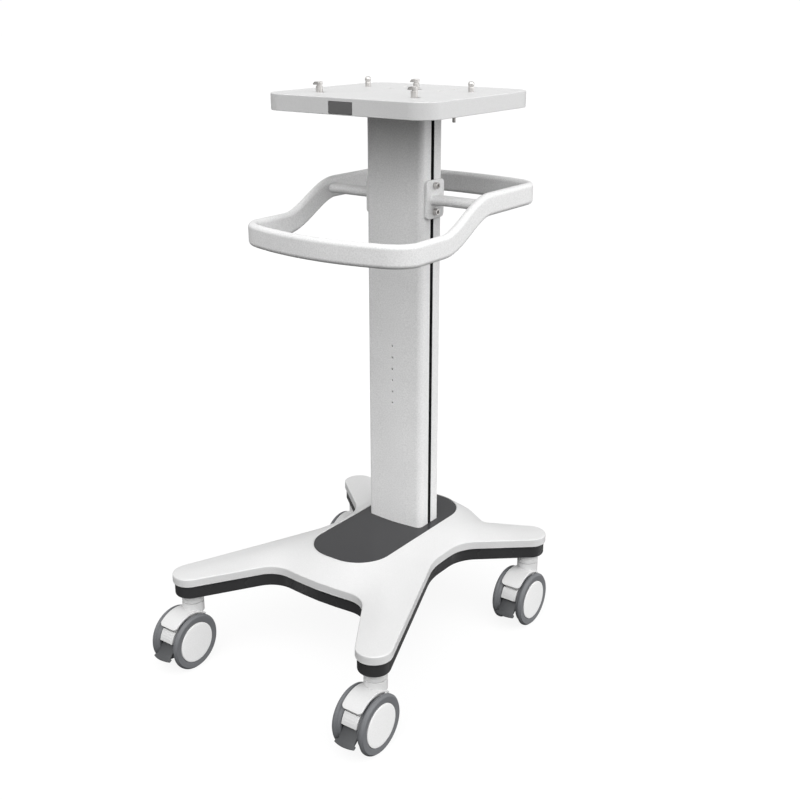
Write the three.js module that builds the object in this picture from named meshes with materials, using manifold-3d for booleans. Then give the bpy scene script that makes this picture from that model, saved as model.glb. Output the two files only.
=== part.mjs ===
// Mobile stand for a portable ultrasound machine: a four-arm base on twin-wheel casters, an aluminium
// column with T-slots, a looped push handle, and a platform whose latch pins hold the machine.
// Millimetres, +Z up, front towards -Y, +X to the right as seen from the front. Heights are measured from
// 50 mm below the axles, and the finished stand is then lowered until its wheels touch the floor.
import * as THREE from "three";
import { mergeVertices } from "three/addons/utils/BufferGeometryUtils.js";
import Module from "manifold-3d";

const wasm = await Module();
wasm.setup();

// ---------------------------------------------------------------- driving dimensions

const GAP = 0.3; // left between pieces that touch

// Casters: twin wheels that trail towards the front, measured from each swivel axis.
const SWIVEL_X = 182.5;
const SWIVEL_Y = 214;
const AXLE_Y = -23;
const AXLE_Z = 50;
const WHEEL_RADIUS = 45.3;
const COLLAR_RADIUS = 17.7;
const COLLAR_BOTTOM = 107.6;

// Base: a dark cast frame under a white domed cover with a dark panel let into its top.
const FRAME_BOTTOM = 121.7;
const COVER_BOTTOM = 143.9;
const SKIRT_TOP = 157.5;
const COVER_RIM = 183.4;
const COVER_WALL = 3;
const ARM_TIP = { x: SWIVEL_X, y: 217, radius: 27 };
const PANEL = { halfWidth: 67.2, front: -86, back: 206, corner: 56, thickness: 3.6 };

// Column: a bow-fronted extrusion and a back one, with a T-slot between them down each side.
const COLUMN = { halfWidth: 52.5, front: 71.9, shoulder: 77.5, back: 129, foot: 150.3, wall: 3 };
const SLOT = { y: 106, width: 8, lipDepth: 3, innerWidth: 14 };
const SPINE_HALF_WIDTH = 13;
const CABLE_HOLES = { count: 6, radius: 1.8, lowest: 394.5, pitch: 19.02 };

// Platform: a shallow tray closed by a steel base plate, with the latch between them.
const PLATFORM = { halfWidth: 148, front: -46, back: 236, corner: 34.5, top: 878.4, height: 24 };
const TRAY_WALL = 3;
const TRAY_SKIN = 4;
const BASE_PLATE = 3;
const PIN_HEIGHT = 15;
const LATCH_TRAVEL = 4.5;
const HOOK_PLACES = [
  ["front_left", -85, 12],
  ["front_right", 85, 12],
  ["rear", 0, 137],
];
const LOCATING_PLACES = [
  ["left", -95, 141.5],
  ["right", 95, 141.5],
];
const SCREW_PLACES = [
  ["front_left", -45, 131.5],
  ["front_right", 45, 131.5],
  ["rear_left", -45, 171.5],
  ["rear_right", 45, 171.5],
];
const PEG = { x: 130, y: 44.5, radius: 2.6, bottom: 845 };

// Handle: one loop of flat-oval tube, low in front and higher behind.
const HANDLE = {
  front: -116.6,
  back: 269.6,
  frontHalfWidth: 146.7,
  backHalfWidth: 145.5,
  frontBow: 17.4,
  backBow: 11.7,
  frontCorner: 31,
  backCorner: 32,
  frontHeight: 679.8,
  backHeight: 723.3,
  riseFrom: -3.2,
  riseTo: 115.2,
  thickness: 13.8,
  depth: 34,
};
const BRACKET = { front: 85, back: 131, bottom: 696, top: 752, corner: 7, thickness: 4.2 };
const BRACKET_SCREWS = [
  ["lower", 704.3],
  ["upper", 743.7],
];
const CROSS_TUBE = { y: 107, z: 723, width: 27, height: 17 };

const COLUMN_TOP = PLATFORM.top - PLATFORM.height - GAP;
const PLATE_TOP = PLATFORM.top - PLATFORM.height + BASE_PLATE;
const LATCH_BOTTOM = PLATE_TOP + 1.6;
const LATCH_TOP = LATCH_BOTTOM + 3;
const PEDAL_REACH = 77.5;
const FRONT_EDGE = -SWIVEL_Y - PEDAL_REACH;
const BACK_EDGE = HANDLE.back + HANDLE.thickness / 2;
const CENTRE_Y = (FRONT_EDGE + BACK_EDGE) / 2;

// ---------------------------------------------------------------- materials

const paint = (color, roughness, metalness = 0) =>
  new THREE.MeshStandardMaterial({ color, roughness, metalness });
const WHITE_PLASTIC = paint(0xf0f0ef, 0.35);
const WHITE_PAINT = paint(0xececec, 0.45);
const DARK_PLASTIC = paint(0x3a3a3c, 0.25);
const PANEL_GREY = paint(0x55555a, 0.15);
const BUTTON_GREY = paint(0x5f5f61, 0.5);
const TYRE_GREY = paint(0x6b6c70, 0.6);
const PEDAL_GREY = paint(0x58595c, 0.6);
const STEEL = paint(0xb8b8b6, 0.3, 1);

// ---------------------------------------------------------------- solids and booleans

function manifoldOf(geometry) {
  const bare = geometry.clone();
  bare.deleteAttribute("normal");
  bare.deleteAttribute("uv");
  const merged = mergeVertices(bare, 1e-4);
  const mesh = new wasm.Mesh({
    numProp: 3,
    vertProperties: merged.attributes.position.array,
    triVerts: new Uint32Array(merged.index.array),
  });
  return new wasm.Manifold(mesh);
}

function geometryOf(manifold) {
  const mesh = manifold.getMesh();
  const geometry = new THREE.BufferGeometry();
  const positions = Float32Array.from(mesh.vertProperties);
  geometry.setAttribute("position", new THREE.BufferAttribute(positions, 3));
  geometry.setIndex(new THREE.BufferAttribute(Uint32Array.from(mesh.triVerts), 1));
  geometry.computeVertexNormals();
  return geometry;
}

function joined(first, ...others) {
  return geometryOf(others.reduce((sum, other) => sum.add(manifoldOf(other)), manifoldOf(first)));
}

function cut(body, ...tools) {
  return geometryOf(tools.reduce((rest, tool) => rest.subtract(manifoldOf(tool)), manifoldOf(body)));
}

function common(first, second) {
  return geometryOf(manifoldOf(first).intersect(manifoldOf(second)));
}

// A box from one corner to the other.
function block(x0, x1, y0, y1, z0, z1) {
  const box = new THREE.BoxGeometry(x1 - x0, y1 - y0, z1 - z0);
  return box.translate((x0 + x1) / 2, (y0 + y1) / 2, (z0 + z1) / 2);
}

// A turned piece about the Z axis. The profile is [radius, height] pairs that start and end on the axis.
function turned(profile, segments = 14) {
  const points = profile.map(([radius, height]) => new THREE.Vector2(radius, height));
  return new THREE.LatheGeometry(points, segments).rotateX(Math.PI / 2);
}

// The same about the X axis.
function turnedAboutX(profile, segments) {
  return turned(profile, segments).rotateY(Math.PI / 2);
}

function rod(radius, z0, z1, segments = 12) {
  return turned([[0, z0], [radius, z0], [radius, z1], [0, z1]], segments);
}

function upright(shape, z0, z1, curveSegments = 3) {
  const settings = { depth: z1 - z0, bevelEnabled: false, curveSegments };
  return new THREE.ExtrudeGeometry(shape, settings).translate(0, 0, z0);
}

// A side-view shape in (y, z), extruded evenly to both sides of x = 0.
function sideways(shape, width, curveSegments = 4) {
  const settings = { depth: width, bevelEnabled: false, curveSegments };
  const slab = new THREE.ExtrudeGeometry(shape, settings).translate(0, 0, -width / 2);
  const toSide = new THREE.Matrix4().makeBasis(
    new THREE.Vector3(0, 1, 0),
    new THREE.Vector3(0, 0, 1),
    new THREE.Vector3(1, 0, 0),
  );
  return slab.applyMatrix4(toSide);
}

function polygon(points) {
  return new THREE.Shape(points.map(([x, y]) => new THREE.Vector2(x, y)));
}

// A slot with round ends: a circle swept along +X by the given travel.
function travelSlot(x, y, radius, travel) {
  const shape = new THREE.Shape();
  shape.absarc(x + travel, y, radius, -Math.PI / 2, Math.PI / 2);
  shape.absarc(x, y, radius, Math.PI / 2, Math.PI * 1.5);
  return shape;
}

// A polygon with rounded corners, returned as a function that draws it any distance inwards.
// Corners are [x, y, radius] and run anticlockwise.
function roundedPolygon(corners, stepDegrees = 15) {
  const arcs = corners.map(([x, y, radius], i) => {
    const [beforeX, beforeY] = corners.at(i - 1);
    const [afterX, afterY] = corners[(i + 1) % corners.length];
    const here = new THREE.Vector2(x, y);
    const back = new THREE.Vector2(beforeX, beforeY).sub(here).normalize();
    const ahead = new THREE.Vector2(afterX, afterY).sub(here).normalize();
    const half = Math.acos(THREE.MathUtils.clamp(back.dot(ahead), -1, 1)) / 2;
    const middle = back.clone().add(ahead).normalize();
    const centre = here.clone().addScaledVector(middle, radius / Math.sin(half));
    const first = here.clone().addScaledVector(back, radius / Math.tan(half)).sub(centre);
    const bulges = Math.sign(ahead.cross(back));
    const sweep = bulges * (Math.PI - 2 * half);
    const steps = Math.max(2, Math.ceil(Math.abs(sweep) / THREE.MathUtils.degToRad(stepDegrees)));
    return { centre, radius, bulges, start: first.angle(), sweep, steps };
  });
  return (inset) =>
    arcs.flatMap(({ centre, radius, bulges, start, sweep, steps }) =>
      Array.from({ length: steps + 1 }, (_, k) => {
        const angle = start + (sweep * k) / steps;
        const reach = radius - bulges * inset;
        return new THREE.Vector2(Math.cos(angle), Math.sin(angle)).multiplyScalar(reach).add(centre);
      }),
    );
}

// A closed solid that follows an outline, with [inset, height] pairs from its bottom edge to its top edge.
function profiledPrism(outline, profile) {
  const rings = profile.map(([inset, z]) => outline(inset).map((p) => [p.x, p.y, z]));
  const count = rings[0].length;
  const topStart = (rings.length - 1) * count;
  const index = [];
  for (let ring = 0; ring + 1 < rings.length; ring++) {
    for (let i = 0; i < count; i++) {
      const here = ring * count + i;
      const next = ring * count + ((i + 1) % count);
      index.push(here, next, next + count, here, next + count, here + count);
    }
  }
  for (const [a, b, c] of THREE.ShapeUtils.triangulateShape(outline(profile[0][0]), [])) {
    index.push(a, c, b);
  }
  for (const [a, b, c] of THREE.ShapeUtils.triangulateShape(outline(profile.at(-1)[0]), [])) {
    index.push(topStart + a, topStart + b, topStart + c);
  }
  const geometry = new THREE.BufferGeometry();
  geometry.setAttribute("position", new THREE.Float32BufferAttribute(rings.flat(2), 3));
  geometry.setIndex(index);
  return geometry;
}

function straightPrism(outline, inset, z0, z1) {
  return profiledPrism(outline, [[inset, z0], [inset, z1]]);
}

// Mirrors the corners of a right half into a whole outline. The first and last lie on x = 0.
function bothSides(rightHalf) {
  const leftHalf = rightHalf.slice(1, -1).reverse();
  return [...rightHalf, ...leftHalf.map(([x, y, radius]) => [-x, y, radius])];
}

// ---------------------------------------------------------------- outlines

// Where two lines cross. Each is a point and a direction.
function crossing(a, b) {
  const along = ((b.x - a.x) * b.dy - (b.y - a.y) * b.dx) / (a.dx * b.dy - a.dy * b.dx);
  return [a.x + a.dx * along, a.y + a.dy * along];
}

// An arm's straight edge: it touches the circle of the arm's tip, on the right or left of its direction.
function armEdge(tipY, dx, dy, side) {
  const length = Math.hypot(dx, dy);
  const x = ARM_TIP.x + (side * ARM_TIP.radius * dy) / length;
  const y = tipY - (side * ARM_TIP.radius * dx) / length;
  return { x, y, dx, dy };
}

// The base's plan: two slim front arms, two rear arms and a waist between them.
function baseOutline() {
  const frontMiddle = { x: 0, y: -126.5, dx: 1, dy: 0.085 };
  const frontArmInner = armEdge(-ARM_TIP.y, 0.536, -0.844, 1);
  const frontArmOuter = armEdge(-ARM_TIP.y, 0.379, -0.925, -1);
  const waist = { x: 107, y: 0, dx: 0, dy: 1 };
  const rearArmFront = armEdge(ARM_TIP.y, 0.766, 0.643, 1);
  const rearArmBack = armEdge(ARM_TIP.y, 0.892, 0.452, -1);
  const rearShoulder = { x: 81, y: 215.6, dx: 0.85, dy: -0.53 };
  const rearMiddle = { x: 0, y: 241, dx: 1, dy: -0.06 };
  return roundedPolygon(
    bothSides([
      [frontMiddle.x, frontMiddle.y, 400],
      [...crossing(frontMiddle, frontArmInner), 43],
      [...crossing(frontArmInner, frontArmOuter), ARM_TIP.radius],
      [...crossing(frontArmOuter, waist), 120],
      [...crossing(waist, rearArmFront), 60],
      [...crossing(rearArmFront, rearArmBack), ARM_TIP.radius],
      [...crossing(rearArmBack, rearShoulder), 16],
      [...crossing(rearShoulder, rearMiddle), 60],
      [rearMiddle.x, rearMiddle.y, 200],
    ]),
    22,
  );
}

function roundedRectangle(halfWidth, front, back, radius, stepDegrees) {
  const corners = [
    [halfWidth, front, radius],
    [halfWidth, back, radius],
    [-halfWidth, back, radius],
    [-halfWidth, front, radius],
  ];
  return roundedPolygon(corners, stepDegrees);
}

const baseEdge = baseOutline();
const panelEdge = roundedRectangle(PANEL.halfWidth, PANEL.front, PANEL.back, PANEL.corner, 12);
const platformEdge = roundedRectangle(
  PLATFORM.halfWidth,
  PLATFORM.front,
  PLATFORM.back,
  PLATFORM.corner,
  12,
);
const columnEdge = roundedPolygon(
  [
    [0, COLUMN.front, 280],
    [COLUMN.halfWidth, COLUMN.shoulder, 9.5],
    [COLUMN.halfWidth, COLUMN.back, 1.5],
    [-COLUMN.halfWidth, COLUMN.back, 1.5],
    [-COLUMN.halfWidth, COLUMN.shoulder, 9.5],
  ],
  22,
);

// ---------------------------------------------------------------- base

// How far a point lies inside an outline; negative outside it.
function depthInside(points, x, y) {
  let nearest = Infinity;
  let inside = false;
  points.forEach((a, i) => {
    const b = points[(i + 1) % points.length];
    const edge = b.clone().sub(a);
    const along = ((x - a.x) * edge.x + (y - a.y) * edge.y) / edge.lengthSq();
    const foot = a.clone().addScaledVector(edge, THREE.MathUtils.clamp(along, 0, 1));
    nearest = Math.min(nearest, Math.hypot(x - foot.x, y - foot.y));
    if (a.y > y !== b.y > y && x < a.x + ((y - a.y) / edge.y) * edge.x) inside = !inside;
  });
  return inside ? nearest : -nearest;
}

// The cover's surface: level along the outline and the panel's rim, and a soft dome between them.
function domeHeight(x, y) {
  const fromEdge = depthInside(baseEdge(0), x, y);
  const toRim = Math.max(0, -depthInside(panelEdge(0), x, y));
  const share = fromEdge / (Math.abs(fromEdge) + toRim);
  return SKIRT_TOP + (COVER_RIM - SKIRT_TOP) * share * (1.2 - 0.2 * share);
}

// Everything under the dome, as a box whose top is bent to it and moved down by the given drop.
function underDome(drop) {
  const low = COVER_BOTTOM - 20;
  const high = COVER_RIM + 20;
  const mass = new THREE.BoxGeometry(432, 500, high - low, 16, 18, 1).translate(0, 0, (low + high) / 2);
  const position = mass.attributes.position;
  for (let i = 0; i < position.count; i++) {
    if (position.getZ(i) < high - 1) continue;
    position.setZ(i, domeHeight(position.getX(i), position.getY(i)) - drop);
  }
  return mass;
}

function coverGeometry() {
  const outside = profiledPrism(baseEdge, [
    [0, COVER_BOTTOM],
    [0, SKIRT_TOP - 1.3],
    [0.5, SKIRT_TOP - 0.1],
    [1.6, SKIRT_TOP + 0.9],
    [1.6, COVER_RIM + 10],
  ]);
  const inside = straightPrism(baseEdge, COVER_WALL, COVER_BOTTOM - 5, COVER_RIM + 10);
  const shell = cut(common(outside, underDome(0)), common(inside, underDome(COVER_WALL)));
  return cut(shell, straightPrism(panelEdge, -0.4, COVER_BOTTOM, COVER_RIM + 10));
}

function frameGeometry() {
  const plate = profiledPrism(baseEdge, [
    [6.6, FRAME_BOTTOM],
    [4, FRAME_BOTTOM + 1],
    [2.9, FRAME_BOTTOM + 3.1],
    [2.6, FRAME_BOTTOM + 6],
    [2.6, COVER_BOTTOM - GAP],
  ]);
  const pedestalTop = COVER_RIM - GAP - PANEL.thickness - GAP;
  const pedestal = straightPrism(panelEdge, 6, COVER_BOTTOM - 5, pedestalTop);
  const floor = COLUMN.foot - GAP;
  const columnSocket = straightPrism(columnEdge, -0.5, floor, pedestalTop + 10);
  const frontPocket = block(-48, 48, -66, 62, floor, pedestalTop + 10);
  const rearPocket = block(-48, 48, 140, 192, floor, pedestalTop + 10);
  const stemBores = casterPlaces().map(([, x, y]) =>
    rod(6, FRAME_BOTTOM - 5, COVER_BOTTOM + 5).translate(x, y, 0),
  );
  return cut(joined(plate, pedestal), columnSocket, frontPocket, rearPocket, ...stemBores);
}

function panelGeometry() {
  const top = COVER_RIM - GAP;
  const sheet = straightPrism(panelEdge, 0.2, top - PANEL.thickness, top);
  return cut(sheet, straightPrism(columnEdge, -0.4, top - 10, top + 10));
}

// ---------------------------------------------------------------- column

// The hollow front extrusion. The slots' front lips stand along the edges of its flat back.
function columnFrontGeometry() {
  const mouth = SLOT.y - SLOT.width / 2;
  const floor = SLOT.y - SLOT.innerWidth / 2;
  const lipX = COLUMN.halfWidth - SLOT.lipDepth;
  const hollowHalf = COLUMN.halfWidth - COLUMN.wall;
  const hollowEdge = roundedRectangle(hollowHalf, COLUMN.shoulder + 1.5, floor - COLUMN.wall, 4, 45);
  const tools = [
    block(-100, 100, mouth, 200, 0, 1000),
    block(-lipX, lipX, floor, 200, 0, 1000),
    straightPrism(hollowEdge, 0, 0, 1000),
  ];
  for (let i = 0; i < CABLE_HOLES.count; i++) {
    const drill = rod(CABLE_HOLES.radius, -10, 10, 8).rotateX(Math.PI / 2);
    tools.push(drill.translate(0, COLUMN.front, CABLE_HOLES.lowest + i * CABLE_HOLES.pitch));
  }
  return cut(straightPrism(columnEdge, 0, COLUMN.foot, COLUMN_TOP), ...tools);
}

// The hollow back extrusion, with the slots' rear lips and a spine that is bolted to the front one.
function columnBackGeometry() {
  const mouth = SLOT.y + SLOT.width / 2;
  const floor = SLOT.y + SLOT.innerWidth / 2;
  const lipX = COLUMN.halfWidth - SLOT.lipDepth;
  const hollowHalf = COLUMN.halfWidth - COLUMN.wall;
  const hollowEdge = roundedRectangle(hollowHalf, floor + COLUMN.wall, COLUMN.back - COLUMN.wall, 2, 45);
  const spineFront = SLOT.y - SLOT.innerWidth / 2 + GAP;
  const spine = block(-SPINE_HALF_WIDTH, SPINE_HALF_WIDTH, spineFront, floor + 1, COLUMN.foot, COLUMN_TOP);
  const shell = cut(
    straightPrism(columnEdge, 0, COLUMN.foot, COLUMN_TOP),
    block(-100, 100, 0, mouth, 0, 1000),
    block(-lipX, lipX, 0, floor, 0, 1000),
    straightPrism(hollowEdge, 0, 0, 1000),
  );
  return joined(shell, spine);
}

// ---------------------------------------------------------------- platform and latch

const BUTTON = { halfWidth: 21, bottom: 855.9, top: 872.6 };

function trayGeometry() {
  const bottom = PLATFORM.top - PLATFORM.height;
  const skinBottom = PLATFORM.top - TRAY_SKIN;
  const outside = profiledPrism(platformEdge, [
    [0, bottom],
    [0, PLATFORM.top - 1.5],
    [0.45, PLATFORM.top - 0.45],
    [1.5, PLATFORM.top],
  ]);
  const shell = cut(outside, straightPrism(platformEdge, TRAY_WALL, bottom - 5, skinBottom));
  const bosses = SCREW_PLACES.map(([, x, y]) =>
    rod(6.5, PLATE_TOP + GAP, skinBottom + 1).translate(x, y, 0),
  );
  const edge = PLATFORM.front;
  const buttonGap = BUTTON.halfWidth + 0.4;
  const openings = [
    block(-buttonGap, buttonGap, edge - 1, edge + 5, BUTTON.bottom - 0.4, BUTTON.top + 0.4),
  ];
  for (const [, x, y] of HOOK_PLACES) {
    openings.push(upright(travelSlot(x, y, 5.4, LATCH_TRAVEL), skinBottom - 1, PLATFORM.top + 1));
  }
  for (const [, x, y] of LOCATING_PLACES) {
    openings.push(rod(4.6, skinBottom - 1, PLATFORM.top + 1).translate(x, y, 0));
  }
  for (const [, x, y] of SCREW_PLACES) {
    openings.push(rod(2.5, bottom, PLATFORM.top + 1, 8).translate(x, y, 0));
    openings.push(rod(6.4, PLATFORM.top - 2.8, PLATFORM.top + 1).translate(x, y, 0));
  }
  return cut(joined(shell, ...bosses), ...openings);
}

function basePlateGeometry() {
  const bottom = PLATFORM.top - PLATFORM.height;
  const sheet = straightPrism(platformEdge, TRAY_WALL + 0.4, bottom, PLATE_TOP);
  const springPost = block(40, 44, 45, 55, PLATE_TOP - 1, PLATE_TOP + 11);
  const buttonNotch = block(-23, 23, PLATFORM.front, PLATFORM.front + 10, bottom - 1, PLATE_TOP + 1);
  const pegLine = travelSlot(PEG.x, PEG.y, PEG.radius + 0.6, LATCH_TRAVEL);
  const pegSlot = upright(pegLine, bottom - 1, PLATE_TOP + 1);
  const screwHoles = SCREW_PLACES.map(([, x, y]) =>
    rod(2.4, bottom - 1, PLATE_TOP + 1, 8).translate(x, y, 0),
  );
  return cut(joined(sheet, springPost), buttonNotch, pegSlot, ...screwHoles);
}

// The sliding plate: a bar for the front hooks, a tongue for the rear one, a ramp for the button in
// front, a tab for the hand peg, and an upright stop for the spring.
function latchSlideGeometry() {
  const plate = upright(
    polygon([
      [-97, 2],
      [-2, 2],
      [-2, -18.5],
      [8, -28.5],
      [14, -28.5],
      [14, 2],
      [137, 2],
      [137, 52],
      [123, 52],
      [123, 22],
      [10, 22],
      [10, 147],
      [-10, 147],
      [-10, 22],
      [-97, 22],
    ]),
    LATCH_BOTTOM,
    LATCH_TOP,
  );
  const springStop = block(6, 10, 45, 55, LATCH_TOP - 1, LATCH_TOP + 7);
  const { x, y, radius, bottom } = PEG;
  const peg = turned([
    [0, bottom],
    [radius - 0.8, bottom],
    [radius, bottom + 0.8],
    [radius, LATCH_BOTTOM + 1],
    [0, LATCH_BOTTOM + 1],
  ]);
  return joined(plate, springStop, peg.translate(x, y, 0));
}

// A round post with an undercut neck and a head whose nose reaches out to catch the machine's keyhole.
function hookPinGeometry() {
  const top = PLATFORM.top + PIN_HEIGHT;
  const post = turned([
    [0, LATCH_TOP + GAP],
    [5, LATCH_TOP + GAP],
    [5, top - 6.2],
    [3.7, top - 6.2],
    [3.7, top - 4.6],
    [5, top - 4.6],
    [5, top - 0.5],
    [4.4, top],
    [0, top],
  ]);
  const nose = sideways(
    polygon([
      [0, top - 4.6],
      [9, top - 4.6],
      [9, top - 3.7],
      [5, top - 0.3],
      [0, top - 0.3],
    ]),
    9,
  );
  return joined(post, nose.rotateZ(Math.PI / 2));
}

// A straight pin with a slight waist and a domed head.
function locatingPinGeometry() {
  const top = PLATFORM.top + PIN_HEIGHT;
  return turned([
    [0, PLATE_TOP + GAP],
    [4.25, PLATE_TOP + GAP],
    [4.25, top - 9.5],
    [3.65, top - 8.5],
    [3.65, top - 6],
    [4.75, top - 5],
    [4.75, top - 2.2],
    [3.4, top - 0.5],
    [0, top],
  ]);
}

function releaseButtonGeometry() {
  const front = PLATFORM.front;
  const face = block(-BUTTON.halfWidth, BUTTON.halfWidth, front, front + 4, BUTTON.bottom, BUTTON.top);
  const body = block(-17, 17, front + 3, front + 12, LATCH_BOTTOM - 1, BUTTON.top - 3);
  const wedge = upright(
    polygon([
      [-14, -35],
      [14, -35],
      [-3, -18],
      [-14, -18],
    ]),
    LATCH_BOTTOM - 1,
    LATCH_TOP + 1,
  );
  return joined(face, body, wedge);
}

class HelixCurve extends THREE.Curve {
  constructor(radius, length, turns) {
    super();
    Object.assign(this, { radius, length, turns });
  }
  getPoint(t, target = new THREE.Vector3()) {
    const angle = t * this.turns * 2 * Math.PI;
    return target.set(t * this.length, this.radius * Math.cos(angle), this.radius * Math.sin(angle));
  }
}

// The coil that pushes the latch back, between the latch's stop and the base plate's post.
function latchSpringGeometry() {
  const wire = new THREE.Shape().absarc(0, 0, 0.6, 0, 2 * Math.PI);
  const extrudePath = new HelixCurve(2.6, 27.4, 5);
  const settings = { steps: 40, curveSegments: 3, bevelEnabled: false, extrudePath };
  return new THREE.ExtrudeGeometry(wire, settings).translate(11.3, 50, LATCH_TOP + 3.4);
}

function platformScrewGeometry() {
  const top = PLATFORM.top - 0.2;
  return turned(
    [
      [0, PLATFORM.top - PLATFORM.height + 0.5],
      [2, PLATFORM.top - PLATFORM.height + 0.5],
      [2, top - 2.3],
      [6, top - 2.3],
      [6, top],
      [2.4, top],
      [2.4, top - 1.4],
      [0, top - 1.4],
    ],
    12,
  );
}

// ---------------------------------------------------------------- handle

// The loop's centreline in plan, from the middle of the front bar round the right side to the back.
function handlePlan() {
  const h = HANDLE;
  const point = (x, y) => new THREE.Vector2(x, y);
  const frontEndX = h.frontHalfWidth - h.frontCorner;
  const frontEndY = h.front + h.frontBow;
  const frontSlope = (2 * h.frontBow) / frontEndX;
  const backEndX = h.backHalfWidth - h.backCorner;
  const backEndY = h.back - h.backBow;
  const backSlope = (2 * h.backBow) / backEndX;
  const sideFront = point(h.frontHalfWidth, frontEndY + h.frontCorner * (1 + frontSlope / 2));
  const sideBack = point(h.backHalfWidth, backEndY - h.backCorner);
  const frontPull = 0.55 * h.frontCorner;
  const backPull = 0.55 * h.backCorner;
  const stretches = [
    [
      new THREE.QuadraticBezierCurve(
        point(0, h.front),
        point(frontEndX / 2, h.front),
        point(frontEndX, frontEndY),
      ),
      3,
    ],
    [
      new THREE.CubicBezierCurve(
        point(frontEndX, frontEndY),
        point(frontEndX + frontPull, frontEndY + frontSlope * frontPull),
        point(sideFront.x, sideFront.y - frontPull),
        sideFront,
      ),
      5,
    ],
    [new THREE.LineCurve(sideFront, sideBack), 10],
    [
      new THREE.CubicBezierCurve(
        sideBack,
        point(sideBack.x, sideBack.y + backPull),
        point(backEndX + backPull, backEndY - backSlope * backPull),
        point(backEndX, backEndY),
      ),
      5,
    ],
    [
      new THREE.QuadraticBezierCurve(
        point(backEndX, backEndY),
        point(backEndX / 2, h.back),
        point(0, h.back),
      ),
      3,
    ],
  ];
  const openEnded = stretches.flatMap(([curve, steps]) => curve.getPoints(steps).slice(0, -1));
  return openEnded.concat([point(0, h.back)]);
}

function handleHeight(y) {
  const share = THREE.MathUtils.smoothstep(y, HANDLE.riseFrom, HANDLE.riseTo);
  return THREE.MathUtils.lerp(HANDLE.frontHeight, HANDLE.backHeight, share);
}

// The tube: its flat-oval section stays upright, square to the centreline, all the way round.
function handleGeometry() {
  const right = handlePlan();
  const left = right.slice(1, -1).reverse();
  const plan = [...right, ...left.map((p) => new THREE.Vector2(-p.x, p.y))];
  const centres = plan.map((p) => new THREE.Vector3(p.x, p.y, handleHeight(p.y)));
  const radius = HANDLE.thickness / 2;
  const section = new THREE.Shape();
  section.absarc(0, HANDLE.depth / 2 - radius, radius, 0, Math.PI);
  section.absarc(0, radius - HANDLE.depth / 2, radius, Math.PI, 2 * Math.PI);
  const ring = section.getPoints(3).slice(0, -1);
  const positions = [];
  const index = [];
  centres.forEach((centre, i) => {
    const ahead = centres[(i + 1) % centres.length].clone().sub(centres.at(i - 1)).normalize();
    const outward = new THREE.Vector3().crossVectors(ahead, new THREE.Vector3(0, 0, 1)).normalize();
    const up = new THREE.Vector3().crossVectors(outward, ahead);
    ring.forEach((p, k) => {
      positions.push(...centre.clone().addScaledVector(outward, p.x).addScaledVector(up, p.y).toArray());
      const a = i * ring.length + k;
      const b = i * ring.length + ((k + 1) % ring.length);
      const c = ((i + 1) % centres.length) * ring.length + k;
      const d = ((i + 1) % centres.length) * ring.length + ((k + 1) % ring.length);
      index.push(a, c, d, a, d, b);
    });
  });
  const geometry = new THREE.BufferGeometry();
  geometry.setAttribute("position", new THREE.Float32BufferAttribute(positions, 3));
  geometry.setIndex(index);
  return geometry;
}

// A plate clamped over the T-slot, drawn for the right-hand side.
function bracketGeometry() {
  const inner = COLUMN.halfWidth + GAP;
  const middle = (BRACKET.bottom + BRACKET.top) / 2;
  const halfHeight = (BRACKET.top - BRACKET.bottom) / 2;
  const outline = roundedRectangle(halfHeight, BRACKET.front, BRACKET.back, BRACKET.corner, 30);
  const plate = straightPrism(outline, 0, inner, inner + BRACKET.thickness).rotateY(Math.PI / 2);
  const holes = BRACKET_SCREWS.map(([, z]) =>
    rod(3.3, inner - 5, inner + 10, 12).rotateY(Math.PI / 2).translate(0, SLOT.y, z),
  );
  return cut(plate.translate(0, 0, middle), ...holes);
}

// A socket-head screw along +X, from inside the T-slot to its head outside the bracket.
function bracketScrewGeometry() {
  const headStart = COLUMN.halfWidth + GAP + BRACKET.thickness + GAP;
  return turned(
    [
      [0, COLUMN.halfWidth - 7],
      [2.9, COLUMN.halfWidth - 7],
      [2.9, headStart],
      [5, headStart],
      [5, headStart + 6],
      [2.4, headStart + 6],
      [2.4, headStart + 3],
      [0, headStart + 3],
    ],
    12,
  ).rotateY(Math.PI / 2);
}

function crossTubeGeometry() {
  const start = COLUMN.halfWidth + GAP + BRACKET.thickness + GAP;
  const end = HANDLE.backHalfWidth - HANDLE.thickness / 2 - GAP;
  const radius = CROSS_TUBE.height / 2;
  const flat = CROSS_TUBE.width / 2 - radius;
  const section = new THREE.Shape();
  section.absarc(flat, 0, radius, -Math.PI / 2, Math.PI / 2);
  section.absarc(-flat, 0, radius, Math.PI / 2, Math.PI * 1.5);
  return sideways(section, end - start).translate((start + end) / 2, CROSS_TUBE.y, CROSS_TUBE.z);
}

// ---------------------------------------------------------------- casters

const AXLE_RADIUS = 4;
const SPINDLE_RADIUS = 5;
const PEDAL_PIVOT = { y: -50, z: 54, pinRadius: 2 };

function casterPlaces() {
  return [
    ["front_left", -SWIVEL_X, -SWIVEL_Y],
    ["front_right", SWIVEL_X, -SWIVEL_Y],
    ["rear_left", -SWIVEL_X, SWIVEL_Y],
    ["rear_right", SWIVEL_X, SWIVEL_Y],
  ];
}

// A point at the given radius and angle about the axle, in side view. Angles rise from the front.
function aboutAxle(radius, degrees) {
  const angle = THREE.MathUtils.degToRad(degrees);
  return [AXLE_Y - radius * Math.cos(angle), AXLE_Z + radius * Math.sin(angle)];
}

function axleArc(radius, from, to, steps) {
  return Array.from({ length: steps + 1 }, (_, i) => aboutAxle(radius, from + ((to - from) * i) / steps));
}

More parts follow.
